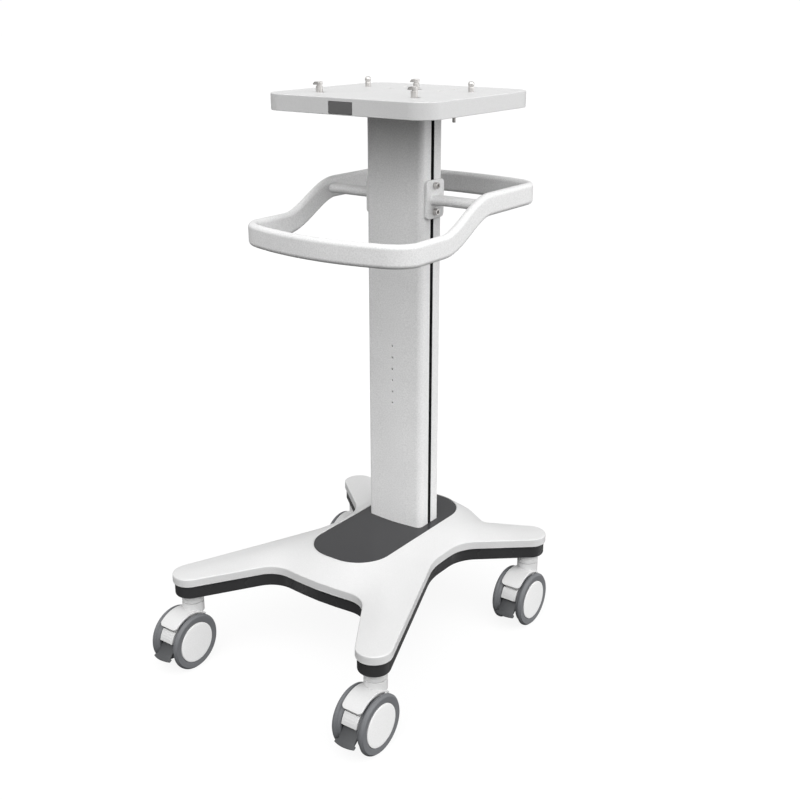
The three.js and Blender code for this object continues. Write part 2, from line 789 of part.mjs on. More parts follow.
// The fixed part: a stem in the base frame, a collar under it, and a spindle for the fork to turn on.
function casterStemGeometry() {
  return turned([
    [0, 98],
    [SPINDLE_RADIUS, 98],
    [SPINDLE_RADIUS, COLLAR_BOTTOM + GAP],
    [COLLAR_RADIUS, COLLAR_BOTTOM + GAP],
    [COLLAR_RADIUS, FRAME_BOTTOM - GAP],
    [5.6, FRAME_BOTTOM - GAP],
    [5.6, COVER_BOTTOM - 2],
    [0, COVER_BOTTOM - 2],
  ]);
}

// The swivelling part: a hood over the tyres' inner shoulders, a web between the wheels with a block at
// its front, a neck round the spindle, and a tongue with the pin of the brake pedal.
function casterForkGeometry() {
  const hood = sideways(polygon([...axleArc(47, 43, 103, 8), ...axleArc(43.4, 103, 43, 8)]), 38);
  const web = sideways(
    polygon([
      [14, 97],
      [-12, 97],
      ...axleArc(44.5, 100, 42, 6),
      ...axleArc(41, 42, 13, 3),
      ...axleArc(36, 13, 25, 1),
      aboutAxle(26, 25),
      aboutAxle(16, -10),
      ...axleArc(13, -30, -150, 4),
      aboutAxle(15, -190),
      [14, 88],
    ]),
    27,
  );
  const neck = rod(COLLAR_RADIUS, 94.6, COLLAR_BOTTOM, 16);
  const { y, z, pinRadius } = PEDAL_PIVOT;
  const tongue = sideways(
    polygon([
      aboutAxle(24, 24),
      [y - 2, z + 3.4],
      [y - 3.6, z - 1.6],
      [y + 1, z - 4],
      aboutAxle(14, -12),
    ]),
    6,
  );
  const pin = rod(pinRadius, -11, 11, 8).rotateY(Math.PI / 2).translate(0, y, z);
  const body = joined(hood, web, neck);
  const spindleBore = rod(SPINDLE_RADIUS + 0.4, 96.5, COLLAR_BOTTOM + 5);
  const axleBore = rod(AXLE_RADIUS + 0.3, -20, 20).rotateY(Math.PI / 2).translate(0, AXLE_Y, AXLE_Z);
  return cut(joined(body, tongue, pin), spindleBore, axleBore);
}

function axleGeometry() {
  return rod(AXLE_RADIUS, -21.5, 21.5).rotateY(Math.PI / 2).translate(0, AXLE_Y, AXLE_Z);
}

const WHEEL_SEGMENTS = 24;

// A round-shouldered tread ring for the wheel on the right; the left one is turned round.
function tyreGeometry() {
  const section = [
    [36, 14.6],
    [39.6, 14.6],
    [42.4, 19],
    [44.6, 20.4],
    [WHEEL_RADIUS, 22],
    [WHEEL_RADIUS, 24.6],
    [42.6, 27.7],
    [36, 27.3],
    [36, 14.6],
  ];
  return turnedAboutX(section, WHEEL_SEGMENTS);
}

// The wheel's body, with a blind bore for the axle and a smooth disc outside.
function wheelHubGeometry() {
  const section = [
    [0, 22],
    [AXLE_RADIUS + GAP, 22],
    [AXLE_RADIUS + GAP, 14.8],
    [35.6, 14.8],
    [35.6, 25.6],
    [32.4, 25.6],
    [32.4, 28.2],
    [0, 28.2],
  ];
  return turnedAboutX(section, WHEEL_SEGMENTS);
}

// Ears on the fork's pin, a steep body between the tyres, and a wide curved lip for the foot.
function pedalGeometry() {
  const { y, z, pinRadius } = PEDAL_PIVOT;
  const side = new THREE.Shape();
  side.absarc(y, z, 4.5, THREE.MathUtils.degToRad(125), THREE.MathUtils.degToRad(-50), true);
  side.lineTo(-70.5, 33.4);
  side.lineTo(-74, 33.4);
  side.lineTo(-74, 36.4);
  const body = sideways(side, 27);
  const lipShape = new THREE.Shape();
  lipShape.moveTo(-17.5, -73.7);
  lipShape.quadraticCurveTo(0, -2 * PEDAL_REACH + 73.7, 17.5, -73.7);
  lipShape.lineTo(15, -71);
  lipShape.lineTo(-15, -71);
  const lip = upright(lipShape, 33.4, 36.2, 6);
  const earGap = block(-3.4, 3.4, y - 9, y + 6, z - 9, z + 6);
  const pinBore = rod(pinRadius + 0.5, -15, 15, 8).rotateY(Math.PI / 2).translate(0, y, z);
  return cut(joined(body, lip), earGap, pinBore);
}

// ---------------------------------------------------------------- assembly

const stand = new THREE.Group();
stand.position.set(0, -CENTRE_Y, WHEEL_RADIUS - AXLE_Z);

function add(name, geometry, material, parent = stand) {
  const mesh = new THREE.Mesh(geometry, material);
  mesh.name = name;
  parent.add(mesh);
  return mesh;
}

function placed(geometry, x, y) {
  return geometry.clone().translate(x, y, 0);
}

add("base_frame", frameGeometry(), DARK_PLASTIC);
add("base_cover", coverGeometry(), WHITE_PLASTIC);
add("base_panel", panelGeometry(), PANEL_GREY);
add("column_front", columnFrontGeometry(), WHITE_PAINT);
add("column_back", columnBackGeometry(), WHITE_PAINT);

add("platform_tray", trayGeometry(), WHITE_PLASTIC);
add("platform_base_plate", basePlateGeometry(), STEEL);
add("release_button", releaseButtonGeometry(), BUTTON_GREY);
add("latch_slide", latchSlideGeometry(), STEEL);
add("latch_spring", latchSpringGeometry(), STEEL);
for (const [place, x, y] of HOOK_PLACES) add("hook_pin_" + place, placed(hookPinGeometry(), x, y), STEEL);
for (const [side, x, y] of LOCATING_PLACES) {
  add("locating_pin_" + side, placed(locatingPinGeometry(), x, y), STEEL);
}
for (const [place, x, y] of SCREW_PLACES) {
  add("platform_screw_" + place, placed(platformScrewGeometry(), x, y), STEEL);
}

add("handle_loop", handleGeometry(), WHITE_PAINT);
for (const side of ["left", "right"]) {
  const flank = new THREE.Group();
  flank.scale.x = side === "left" ? -1 : 1;
  stand.add(flank);
  add("bracket_plate_" + side, bracketGeometry(), WHITE_PAINT, flank);
  add("cross_tube_" + side, crossTubeGeometry(), WHITE_PAINT, flank);
  for (const [level, z] of BRACKET_SCREWS) {
    const screw = add("bracket_screw_" + level + "_" + side, bracketScrewGeometry(), STEEL, flank);
    screw.position.set(0, SLOT.y, z);
  }
}

for (const [place, x, y] of casterPlaces()) {
  const caster = new THREE.Group();
  caster.position.set(x, y, 0);
  stand.add(caster);
  add("caster_stem_" + place, casterStemGeometry(), WHITE_PLASTIC, caster);
  add("caster_fork_" + place, casterForkGeometry(), WHITE_PLASTIC, caster);
  add("caster_axle_" + place, axleGeometry(), STEEL, caster);
  add("brake_pedal_" + place, pedalGeometry(), PEDAL_GREY, caster);
  for (const side of ["left", "right"]) {
    const wheel = new THREE.Group();
    wheel.position.set(0, AXLE_Y, AXLE_Z);
    if (side === "left") wheel.rotation.z = Math.PI;
    caster.add(wheel);
    add("tyre_" + side + "_" + place, tyreGeometry(), TYRE_GREY, wheel);
    add("wheel_" + side + "_" + place, wheelHubGeometry(), WHITE_PLASTIC, wheel);
  }
}

export default stand;
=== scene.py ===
"""Looks of a mobile ultrasound stand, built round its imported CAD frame.

Shapes are worked out in millimetres about the line midway between the four swivels, or about a caster's own
swivel. Heights are measured from 50 mm below the axles. mesh_object() turns millimetres into metres.
"""
import math

import bpy
import bmesh
import numpy as np
from mathutils import Matrix, Vector
from mathutils.geometry import delaunay_2d_cdt


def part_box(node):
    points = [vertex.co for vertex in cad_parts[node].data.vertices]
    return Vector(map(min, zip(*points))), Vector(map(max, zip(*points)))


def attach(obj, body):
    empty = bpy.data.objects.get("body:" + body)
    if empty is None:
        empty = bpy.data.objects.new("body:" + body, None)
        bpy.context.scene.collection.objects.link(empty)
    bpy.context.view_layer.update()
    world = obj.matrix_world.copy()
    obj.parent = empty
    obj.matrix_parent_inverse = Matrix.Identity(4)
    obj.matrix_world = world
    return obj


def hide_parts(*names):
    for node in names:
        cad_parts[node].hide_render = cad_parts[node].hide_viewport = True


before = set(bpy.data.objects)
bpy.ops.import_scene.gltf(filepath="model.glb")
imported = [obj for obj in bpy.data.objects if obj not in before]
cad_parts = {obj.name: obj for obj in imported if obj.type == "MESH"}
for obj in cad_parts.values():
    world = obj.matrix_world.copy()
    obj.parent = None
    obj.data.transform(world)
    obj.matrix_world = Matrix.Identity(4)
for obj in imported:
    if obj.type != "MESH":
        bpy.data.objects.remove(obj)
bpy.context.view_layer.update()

MM = 0.001
SIDES = {"left": -1, "right": 1}


# ---- sizes from the frame


def box_mm(node):
    """A CAD node's lowest and highest corners in millimetres."""
    low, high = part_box(node)
    return low / MM, high / MM


def middle_mm(node):
    low, high = box_mm(node)
    return (low + high) / 2


AXLE_Z = 50
FRONT_STEM, REAR_STEM = [middle_mm("caster_stem_" + place) for place in ("front_right", "rear_right")]
ORIGIN = Vector((0, (FRONT_STEM.y + REAR_STEM.y) / 2, middle_mm("tyre_right_front_right").z - AXLE_Z))
SWIVEL_X = FRONT_STEM.x
SWIVEL_Y = (REAR_STEM.y - FRONT_STEM.y) / 2
SWIVELS = {
    "front_left": (-SWIVEL_X, -SWIVEL_Y),
    "front_right": (SWIVEL_X, -SWIVEL_Y),
    "rear_left": (-SWIVEL_X, SWIVEL_Y),
    "rear_right": (SWIVEL_X, SWIVEL_Y),
}
PLACES = list(SWIVELS)


def placed_box(node):
    """A CAD node's corners as the shapes here are measured."""
    low, high = box_mm(node)
    return low - ORIGIN, high - ORIGIN


def placed_middle(node):
    return middle_mm(node) - ORIGIN


# ---- lines and outlines


def arc(centre, radius, first, last, step=6.0):
    """Points on an arc, with its angles in degrees."""
    steps = max(1, math.ceil(abs(last - first) / step))
    angles = np.radians(np.linspace(first, last, steps + 1))
    return [(centre[0] + radius * math.cos(a), centre[1] + radius * math.sin(a)) for a in angles]


def corner_arc(before, here, after, radius, step):
    """A rounded corner: its centre, its points' directions from the centre, and +1 where it bulges out."""
    here = Vector(here[:2])
    back = (Vector(before[:2]) - here).normalized()
    ahead = (Vector(after[:2]) - here).normalized()
    half = back.angle(ahead) / 2
    centre = here + (back + ahead).normalized() * (radius / math.sin(half))
    start = here + back * (radius / math.tan(half)) - centre
    side = 1 if ahead.x * back.y - ahead.y * back.x > 0 else -1
    sweep = side * (math.pi - 2 * half)
    steps = max(2, math.ceil(abs(math.degrees(sweep)) / step))
    first = math.atan2(start.y, start.x)
    angles = [first + sweep * k / steps for k in range(steps + 1)]
    return centre, [Vector((math.cos(a), math.sin(a))) for a in angles], side


def rounded(stops, step=15.0, closed=False):
    """A line through (a, b) or (a, b, radius) stops, with its corners rounded, as a list of points."""
    points = []
    count = len(stops)
    for i, stop in enumerate(stops):
        radius = stop[2] if len(stop) > 2 else 0
        if not radius or (not closed and i in (0, count - 1)):
            points.append((stop[0], stop[1]))
            continue
        centre, directions, _ = corner_arc(stops[i - 1], stop, stops[(i + 1) % count], radius, step)
        points += [tuple(centre + d * radius) for d in directions]
    return points


class Outline:
    """A closed line of points with outward normals, anticlockwise."""

    def __init__(self, points, normals):
        self.points = np.array(points, float)
        self.normals = np.array(normals, float)

    def inset(self, distance):
        return self.points - self.normals * np.reshape(distance, (-1, 1) if np.ndim(distance) else ())

    def ring(self, distance, height):
        flat = self.inset(distance)
        return np.column_stack([flat, np.broadcast_to(height, len(flat))])


def outline(corners, step=6.0, spacing=6.0):
    """The outline of a polygon with rounded corners, from (x, y, radius) stops."""
    points, normals = [], []
    count = len(corners)
    for i, corner in enumerate(corners):
        radius = corner[2]
        before, after = corners[i - 1], corners[(i + 1) % count]
        centre, directions, side = corner_arc(before, corner, after, radius, step)
        points += [centre + d * radius for d in directions]
        normals += [d * side for d in directions]
    dense_points, dense_normals = [], []
    for i, here in enumerate(points):
        after = points[(i + 1) % len(points)]
        pieces = max(1, math.ceil((after - here).length / spacing))
        for k in range(pieces):
            dense_points.append(here.lerp(after, k / pieces))
            dense_normals.append(normals[i].lerp(normals[(i + 1) % len(points)], k / pieces).normalized())
    return Outline(dense_points, dense_normals)


def rectangle(low_x, high_x, low_y, high_y, radius, step=6.0, spacing=400.0):
    corners = [
        (high_x, low_y, radius),
        (high_x, high_y, radius),
        (low_x, high_y, radius),
        (low_x, low_y, radius),
    ]
    return outline(corners, step, spacing)


def mirrored(right_half):
    """A whole outline's corners from the right half's, whose first and last lie on x = 0."""
    return right_half + [(-x, y, radius) for x, y, radius in right_half[-2:0:-1]]


# ---- solids: (points, faces) in millimetres


def loft(rings, ends=True, closed=False):
    """Faces between rings of equal count, with a flat face at each end unless the rings close up."""
    count = len(rings[0])
    points = [tuple(p) for ring in rings for p in ring]
    faces = []
    for r in range(len(rings) if closed else len(rings) - 1):
        here = r * count
        there = (r + 1) % len(rings) * count
        for i in range(count):
            j = (i + 1) % count
            faces.append((here + i, here + j, there + j, there + i))
    if ends and not closed:
        faces.append(tuple(reversed(range(count))))
        faces.append(tuple(range(len(points) - count, len(points))))
    return points, faces


def prism(edge, profile):
    """An outline carried through (inset, height) stops, from its lower end to its upper end."""
    return loft([edge.ring(inset, z) for inset, z in profile])


def plain_profile(bottom, top, low_round, high_round, step=22.5):
    """The stops of an upright wall with rounded lower and upper edges."""
    low_end = (low_round + 0.01, bottom)
    high_end = (high_round + 0.01, top)
    return rounded([low_end, (0, bottom, low_round), (0, top, high_round), high_end], step)


def hexagon(angle):
    """How far a hexagon's side lies at an angle, where its flats lie at 1."""
    return 1 / math.cos((angle + math.pi / 6) % (math.pi / 3) - math.pi / 6)


def revolve(profile, segments=64, closed=False):
    """A solid turned about Z from (radius, height) stops; a third value of 1 makes the stop a hexagon."""
    rings = []
    for stop in profile:
        ring = []
        for k in range(segments):
            angle = 2 * math.pi * k / segments
            reach = stop[0] * (hexagon(angle) if len(stop) > 2 and stop[2] else 1)
            ring.append((reach * math.cos(angle), reach * math.sin(angle), stop[1]))
        rings.append(ring)
    return loft(rings, ends=not closed, closed=closed)


def box_solid(x0, x1, y0, y1, z0, z1):
    ring = [(x0, y0), (x1, y0), (x1, y1), (x0, y1)]
    return loft([[(x, y, z) for x, y in ring] for z in (z0, z1)])


def moved(solid, x=0.0, y=0.0, z=0.0):
    points, faces = solid
    return [(p[0] + x, p[1] + y, p[2] + z) for p in points], faces


def axes(solid, order):
    """A solid with its axes renamed: order says which old axis each new one takes."""
    points, faces = solid
    return [(p[order[0]], p[order[1]], p[order[2]]) for p in points], faces


def along_x(solid):
    """Turns a solid made about Z so that its axis runs along X."""
    return axes(solid, (2, 0, 1))


def along_y(solid):
    return axes(solid, (1, 2, 0))


def mirror_x(solid):
    points, faces = solid
    return [(-p[0], p[1], p[2]) for p in points], faces


def together(*solids):
    points, faces = [], []
    for more_points, more_faces in solids:
        start = len(points)
        points += more_points
        faces += [tuple(start + i for i in face) for face in more_faces]
    return points, faces


def inside(loops, points):
    """Which points lie inside a set of closed lines, by counting crossings."""
    found = np.zeros(len(points), bool)
    for loop in loops:
        a = loop[None]
        b = np.roll(loop, -1, 0)[None]
        x, y = points[:, None, 0], points[:, None, 1]
        spans = (a[..., 1] > y) != (b[..., 1] > y)
        rise = np.where(b[..., 1] == a[..., 1], 1, b[..., 1] - a[..., 1])
        crosses = x < a[..., 0] + (y - a[..., 1]) / rise * (b[..., 0] - a[..., 0])
        found ^= (spans & crosses).sum(1) % 2 == 1
    return found


def filled(loops, spacing):
    """Flat points, and triangles about as wide as the spacing, over the region inside closed lines."""
    edges, start = [], 0
    for loop in loops:
        edges += [(start + i, start + (i + 1) % len(loop)) for i in range(len(loop))]
        start += len(loop)
    border = np.vstack(loops)
    low, high = border.min(0), border.max(0)
    row_height = spacing * math.sqrt(0.75)
    rows = []
    for r in range(int((high[1] - low[1]) / row_height) + 1):
        xs = np.arange(low[0] + spacing / 2 * (r % 2), high[0], spacing)
        rows.append(np.column_stack([xs, np.full(len(xs), low[1] + r * row_height)]))
    lattice = np.vstack(rows)
    lattice = lattice[inside(loops, lattice)]
    nearest = np.min(np.linalg.norm(lattice[:, None] - border[None], axis=2), axis=1)
    lattice = lattice[nearest > 0.6 * spacing]
    vectors = [Vector(p) for p in np.vstack([border, lattice])]
    made, _, faces, *_ = delaunay_2d_cdt(vectors, edges, [], 0, 1e-4)
    made = np.array(made)
    centres = np.array([made[list(face)].mean(0) for face in faces])
    kept = inside(loops, centres)
    return made, [tuple(face) for face, keep in zip(faces, kept) if keep]


def slab(edge, profile, spacing):
    """A prism whose two flat ends are filled with small triangles, so that it can be bent afterwards."""
    walls = loft([edge.ring(inset, z) for inset, z in profile], ends=False)
    flat_low, faces_low = filled([edge.inset(profile[0][0])], spacing)
    flat_high, faces_high = filled([edge.inset(profile[-1][0])], spacing)
    low = ([(x, y, profile[0][1]) for x, y in flat_low], [tuple(reversed(f)) for f in faces_low])
    high = ([(x, y, profile[-1][1]) for x, y in flat_high], faces_high)
    return together(walls, low, high)


# ---- objects


def mesh_object(name, solid, weld=0.002):
    """A mesh object, in metres, with its shared points merged and its faces turned outwards."""
    points, faces = solid
    mesh = bpy.data.meshes.new(name)
    mesh.from_pydata([Vector(p) * MM for p in points], [], faces)
    work = bmesh.new()
    work.from_mesh(mesh)
    bmesh.ops.remove_doubles(work, verts=work.verts, dist=weld * MM)
    bmesh.ops.recalc_face_normals(work, faces=work.faces)
    work.to_mesh(mesh)
    work.free()
    made = bpy.data.objects.new(name, mesh)
    bpy.context.scene.collection.objects.link(made)
    return made


def baked(target):
    """Turns an object's modifiers into its mesh."""
    shown = target.evaluated_get(bpy.context.evaluated_depsgraph_get())
    mesh = bpy.data.meshes.new_from_object(shown)
    target.modifiers.clear()
    target.data = mesh
    return target


def combined(target, solids, operation="DIFFERENCE"):
    """Cuts solids or objects from an object, or joins them to it, and uses them up."""
    tools = [mesh_object("tool", solid) if isinstance(solid, tuple) else solid for solid in solids]
    for tool in tools:
        change = target.modifiers.new("change", "BOOLEAN")
        change.operation = operation
        change.solver = "EXACT"
        change.object = tool
    baked(target)
    for tool in tools:
        bpy.data.objects.remove(tool)
    return target


def eased(target, width, segments=2, angle=40.0):
    """Rounds every edge that is sharper than the angle."""
    bevel = target.modifiers.new("eased edges", "BEVEL")
    bevel.width = width * MM
    bevel.segments = segments
    bevel.limit_method = "ANGLE"
    bevel.angle_limit = math.radians(angle)
    bevel.use_clamp_overlap = True
    return baked(target)


def flip_x(target):
    """Turns a piece made for the right into its mirror image for the left."""
    target.data.transform(Matrix.Scale(-1, 4, (1, 0, 0)))
    target.data.flip_normals()


def shaded(target, sharp=38.0):
    """Smooth shading that leaves sharp edges sharp and flat faces flat."""
    target.data.shade_smooth()
    target.data.set_sharp_from_angle(angle=math.radians(sharp))
    weights = target.modifiers.new("even shading", "WEIGHTED_NORMAL")
    weights.keep_sharp = True
    return target


def finished(target, body, slot, nodes, at=(0, 0, 0), finish=None):
    """Places, shades and paints a piece, ties it to its CAD body, and hides the CAD nodes it stands for.

    The finish is the slot's own unless another is named."""
    target.location = (Vector(at) + ORIGIN) * MM
    shaded(target)
    target.data.materials.clear()
    target.data.materials.append(MATERIALS[finish or slot])
    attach(target, body)
    if nodes:
        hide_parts(*nodes)
    return target


# ---- materials


def shader_of(made):
    return made.node_tree.nodes["Principled BSDF"]


def material(
    name,
    grey,
    roughness,
    metallic=0.0,
    specular=0.5,
    grain=900.0,
    depth=0.02,
    mottle=0.02,
    uneven=0.06,
    stretch=1.0,
):
    """A finish with fine grain, faint mottling and uneven gloss.

    The grain is in waves per metre, its depth in millimetres. A stretch under 1 draws it out along Z."""
    made = bpy.data.materials.new(name)
    made.use_nodes = True
    nodes, links = made.node_tree.nodes, made.node_tree.links
    shader = shader_of(made)
    shader.inputs["Metallic"].default_value = metallic
    shader.inputs["Specular IOR Level"].default_value = specular
    place = nodes.new("ShaderNodeTexCoord")
    scale = nodes.new("ShaderNodeMapping")
    scale.inputs["Scale"].default_value = (1, 1, stretch)
    links.new(place.outputs["Object"], scale.inputs["Vector"])
    fine = nodes.new("ShaderNodeTexNoise")
    fine.inputs["Scale"].default_value = grain
    fine.inputs["Detail"].default_value = 3
    links.new(scale.outputs["Vector"], fine.inputs["Vector"])
    broad = nodes.new("ShaderNodeTexNoise")
    broad.inputs["Scale"].default_value = 14
    broad.inputs["Detail"].default_value = 4
    links.new(place.outputs["Object"], broad.inputs["Vector"])
    bump = nodes.new("ShaderNodeBump")
    bump.inputs["Strength"].default_value = 0.35
    bump.inputs["Distance"].default_value = depth * MM
    links.new(fine.outputs["Fac"], bump.inputs["Height"])
    links.new(bump.outputs["Normal"], shader.inputs["Normal"])
    gloss = nodes.new("ShaderNodeMapRange")
    gloss.inputs["From Min"].default_value = 0.3
    gloss.inputs["From Max"].default_value = 0.7
    gloss.inputs["To Min"].default_value = roughness - uneven
    gloss.inputs["To Max"].default_value = roughness + uneven
    links.new(broad.outputs["Fac"], gloss.inputs["Value"])
    links.new(gloss.outputs["Result"], shader.inputs["Roughness"])
    tint = nodes.new("ShaderNodeMix")
    tint.data_type = "RGBA"
    dark, light = [tuple(c * share for c in grey) + (1,) for share in (1 - mottle, 1 + mottle)]
    tint.inputs["A"].default_value = dark
    tint.inputs["B"].default_value = light
    blend = nodes.new("ShaderNodeMix")
    blend.data_type = "FLOAT"
    blend.inputs["Factor"].default_value = 0.8
    links.new(broad.outputs["Fac"], blend.inputs["A"])
    links.new(fine.outputs["Fac"], blend.inputs["B"])
    links.new(blend.outputs["Result"], tint.inputs["Factor"])
    links.new(tint.outputs["Result"], shader.inputs["Base Color"])
    return made


FINISHES = {
    "white_plastic": dict(grey=(0.6, 0.6, 0.6), roughness=0.38, grain=800, mottle=0.14),
    "white_coat": dict(grey=(0.7, 0.7, 0.7), roughness=0.48, grain=520, depth=0.06, mottle=0.3),
    # A lighter copy of the white plastic for the wheel discs: painted light.
    "wheel_white_painted_light": dict(grey=(0.78, 0.78, 0.78), roughness=0.38, grain=800, mottle=0.14),
    # The frame's own charcoal, also used inside the column's slots as painted shade.
    "dark_frame": dict(grey=(0.034, 0.034, 0.035), roughness=0.28, specular=0.35, depth=0.01, mottle=0.1),
    "dark_panel": dict(
        grey=(0.042, 0.042, 0.044), roughness=0.09, specular=0.2, depth=0.002, mottle=0.1, uneven=0.02
    ),
    "button_grey": dict(grey=(0.12, 0.12, 0.12), roughness=0.45, mottle=0.04),
    "tyre_grey": dict(grey=(0.128, 0.132, 0.14), roughness=0.55, grain=1300, depth=0.03, mottle=0.06),
    "pedal_grey": dict(grey=(0.052, 0.054, 0.057), roughness=0.5, grain=1100, depth=0.04, mottle=0.06),
    "steel": dict(
        grey=(0.6, 0.585, 0.57), roughness=0.32, metallic=0.85, grain=600, depth=0.01, stretch=0.05
    ),
}
MATERIALS = {name: material(name, **finish) for name, finish in FINISHES.items()}


# ---- base

ARM_TIP_Y = SWIVEL_Y + 3
ARM_TIP_RADIUS = 27
COVER_LOW = placed_box("base_cover")[0].z
FRAME_LOW = placed_box("base_frame")[0].z
PANEL_LOW, PANEL_HIGH = placed_box("base_panel")
RIM = PANEL_HIGH.z + 0.3
SKIRT_TOP = 157.5
BULGE = 0.2
SOFTNESS = 3
# Makes the soft distance exact beside a long straight side.
STRAIGHT_LINE = math.sqrt(math.pi) * math.gamma(SOFTNESS / 2) / math.gamma((SOFTNESS + 1) / 2)


def crossing(a, b):
    """Where two lines cross. Each is a point and a direction: (x, y, dx, dy)."""
    along = ((b[0] - a[0]) * b[3] - (b[1] - a[1]) * b[2]) / (a[2] * b[3] - a[3] * b[2])
    return (a[0] + a[2] * along, a[1] + a[3] * along)


def arm_edge(tip_y, dx, dy, side):
    """An arm's straight edge, touching its tip's circle on the right (1) or left (-1) of its direction."""
    length = math.hypot(dx, dy)
    x = SWIVEL_X + side * ARM_TIP_RADIUS * dy / length
    y = tip_y - side * ARM_TIP_RADIUS * dx / length
    return (x, y, dx, dy)


def base_corners():
    front_middle = (0, -126.5, 1, 0.085)
    front_inner = arm_edge(-ARM_TIP_Y, 0.536, -0.844, 1)
    front_outer = arm_edge(-ARM_TIP_Y, 0.379, -0.925, -1)
    waist = (107, 0, 0, 1)
    rear_front = arm_edge(ARM_TIP_Y, 0.766, 0.643, 1)
    rear_back = arm_edge(ARM_TIP_Y, 0.892, 0.452, -1)
    shoulder = (81, 215.6, 0.85, -0.53)
    rear_middle = (0, 241, 1, -0.06)
    return mirrored([
        (*front_middle[:2], 400),
        (*crossing(front_middle, front_inner), 43),
        (*crossing(front_inner, front_outer), ARM_TIP_RADIUS),
        (*crossing(front_outer, waist), 120),
        (*crossing(waist, rear_front), 60),
        (*crossing(rear_front, rear_back), ARM_TIP_RADIUS),
        (*crossing(rear_back, shoulder), 16),
        (*crossing(shoulder, rear_middle), 60),
        (*rear_middle[:2], 200),
    ])


base_edge = outline(base_corners(), 5, 6)
base_fine = outline(base_corners(), 3, 2)
PANEL_CORNER = 56
panel_box = (PANEL_LOW.x, PANEL_HIGH.x, PANEL_LOW.y, PANEL_HIGH.y)
panel_edge = rectangle(*panel_box, PANEL_CORNER, 4, 5)
panel_fine = rectangle(*panel_box, PANEL_CORNER, 2, 2)


def soft_distance(points, loop):
    """Distance to a closed line, rounded off where two of its sides are equally near."""
    after = np.roll(loop, -1, 0)
    middles = (loop + after) / 2
    lengths = np.linalg.norm(after - loop, axis=1)
    gaps = np.linalg.norm(points[:, None] - middles[None], axis=2)
    return (STRAIGHT_LINE / (lengths / gaps ** (SOFTNESS + 1)).sum(1)) ** (1 / SOFTNESS)


def dome(points):
    """The cover's height: level along its edge and along the panel's rim, and a soft dome between them."""
    to_edge = soft_distance(points, base_fine.points)
    to_rim = soft_distance(points, panel_fine.points)
    share = to_edge / (to_edge + to_rim)
    return SKIRT_TOP + (RIM - SKIRT_TOP) * share * (1 + BULGE - BULGE * share)


def base_cover():
    """A thin shell: a skirt, a rounded edge, the soft dome, and a lip down into the panel's recess."""
    reach = 4.0
    edge_round = 2.2
    edge_slope = (dome(base_edge.inset(reach)) - SKIRT_TOP) / reach
    last_angle = math.pi / 2 - np.arctan(edge_slope)
    last_inset = edge_round * (1 - np.cos(last_angle))
    centre_z = SKIRT_TOP + edge_slope * last_inset - edge_round * np.sin(last_angle)
    wall = [base_edge.ring(1.2, COVER_LOW + 0.2)]
    skirt = rounded([(1.0, COVER_LOW), (0, COVER_LOW, 0.8), (0, 150)], 30)
    wall += [base_edge.ring(inset, z) for inset, z in skirt]
    for k in range(9):
        angle = last_angle * k / 8
        wall.append(base_edge.ring(edge_round * (1 - np.cos(angle)), centre_z + edge_round * np.sin(angle)))
    rim_slope = (RIM - dome(panel_edge.inset(-reach))) / reach
    rim_start = 2.0
    outer = base_edge.inset(last_inset)
    inner = panel_edge.inset(-rim_start)
    flat, faces = filled([outer, inner], 5.0)
    heights = np.empty(len(flat))
    borders = np.vstack([outer, inner])
    border_heights = np.concatenate([wall[-1][:, 2], RIM - rim_slope * rim_start])
    gaps = np.linalg.norm(flat[:, None] - borders[None], axis=2)
    nearest = gaps.argmin(1)
    on_border = gaps.min(1) < 0.01
    heights[on_border] = border_heights[nearest[on_border]]
    heights[~on_border] = dome(flat[~on_border])
    top = ([(x, y, z) for (x, y), z in zip(flat, heights)], faces)
    rim = [panel_edge.ring(-rim_start, RIM - rim_slope * rim_start)]
    # The lip rises a little before it turns down beside the panel.
    for outset, drop in ((1.5, 0.05), (1.1, -0.25), (0.75, -0.1), (0.5, 0.3), (0.4, 0.9), (0.4, 4.0)):
        rim.append(panel_edge.ring(-outset, RIM - drop))
    shell = together(loft(wall, ends=False), top, loft(rim, ends=False))
    cover = mesh_object("base_cover_shell", shell, 0.02)
    thick = cover.modifiers.new("wall", "SOLIDIFY")
    thick.thickness = 2.0 * MM
    thick.offset = -1
    return finished(baked(cover), "stand", "white_plastic", ["base_cover"])


def base_frame():
    wall_inset = 2.6
    stops = [(14, FRAME_LOW + 4), (12, FRAME_LOW + 4, 1), (10, FRAME_LOW, 1), (wall_inset, FRAME_LOW, 3.6)]
    stops += [(wall_inset, COVER_LOW - 0.3)]
    body = mesh_object("base_frame_casting", prism(base_edge, rounded(stops, 15)))
    combined(body, [moved(revolve([(6.2, 100), (6.2, 150)], 32), x, y) for x, y in SWIVELS.values()])
    return finished(body, "stand", "dark_frame", ["base_frame"])


# ---- column

FRONT_LOW, FRONT_HIGH = placed_box("column_front")
BACK_HIGH = placed_box("column_back")[1]
COLUMN_HALF = FRONT_HIGH.x
SLOT_FRONT = FRONT_HIGH.y
SLOT_WIDTH = 8
SLOT_BACK = SLOT_FRONT + SLOT_WIDTH
LIP = 3
UNDERCUT = 3
BOW = 0.4
SPINE_HALF = 13
SHOULDER_Y = FRONT_LOW.y + 5.2
COLUMN_CORNER = 9.5
HOLE_COUNT = 6
HOLE_PITCH = 19.02
HOLE_RADIUS = 1.8
LOWEST_HOLE = 394.5


def column_front_corners():
    """The front extrusion's section, with the slots' front lips at its back corners."""
    return mirrored([
        (0, FRONT_LOW.y - BOW, 280),
        (COLUMN_HALF, SHOULDER_Y, COLUMN_CORNER),
        (COLUMN_HALF, SLOT_FRONT, 0.4),
        (COLUMN_HALF - LIP, SLOT_FRONT, 0.3),
        (COLUMN_HALF - LIP, SLOT_FRONT - UNDERCUT, 0.3),
        (0, SLOT_FRONT - UNDERCUT - 0.01, 200),
    ])


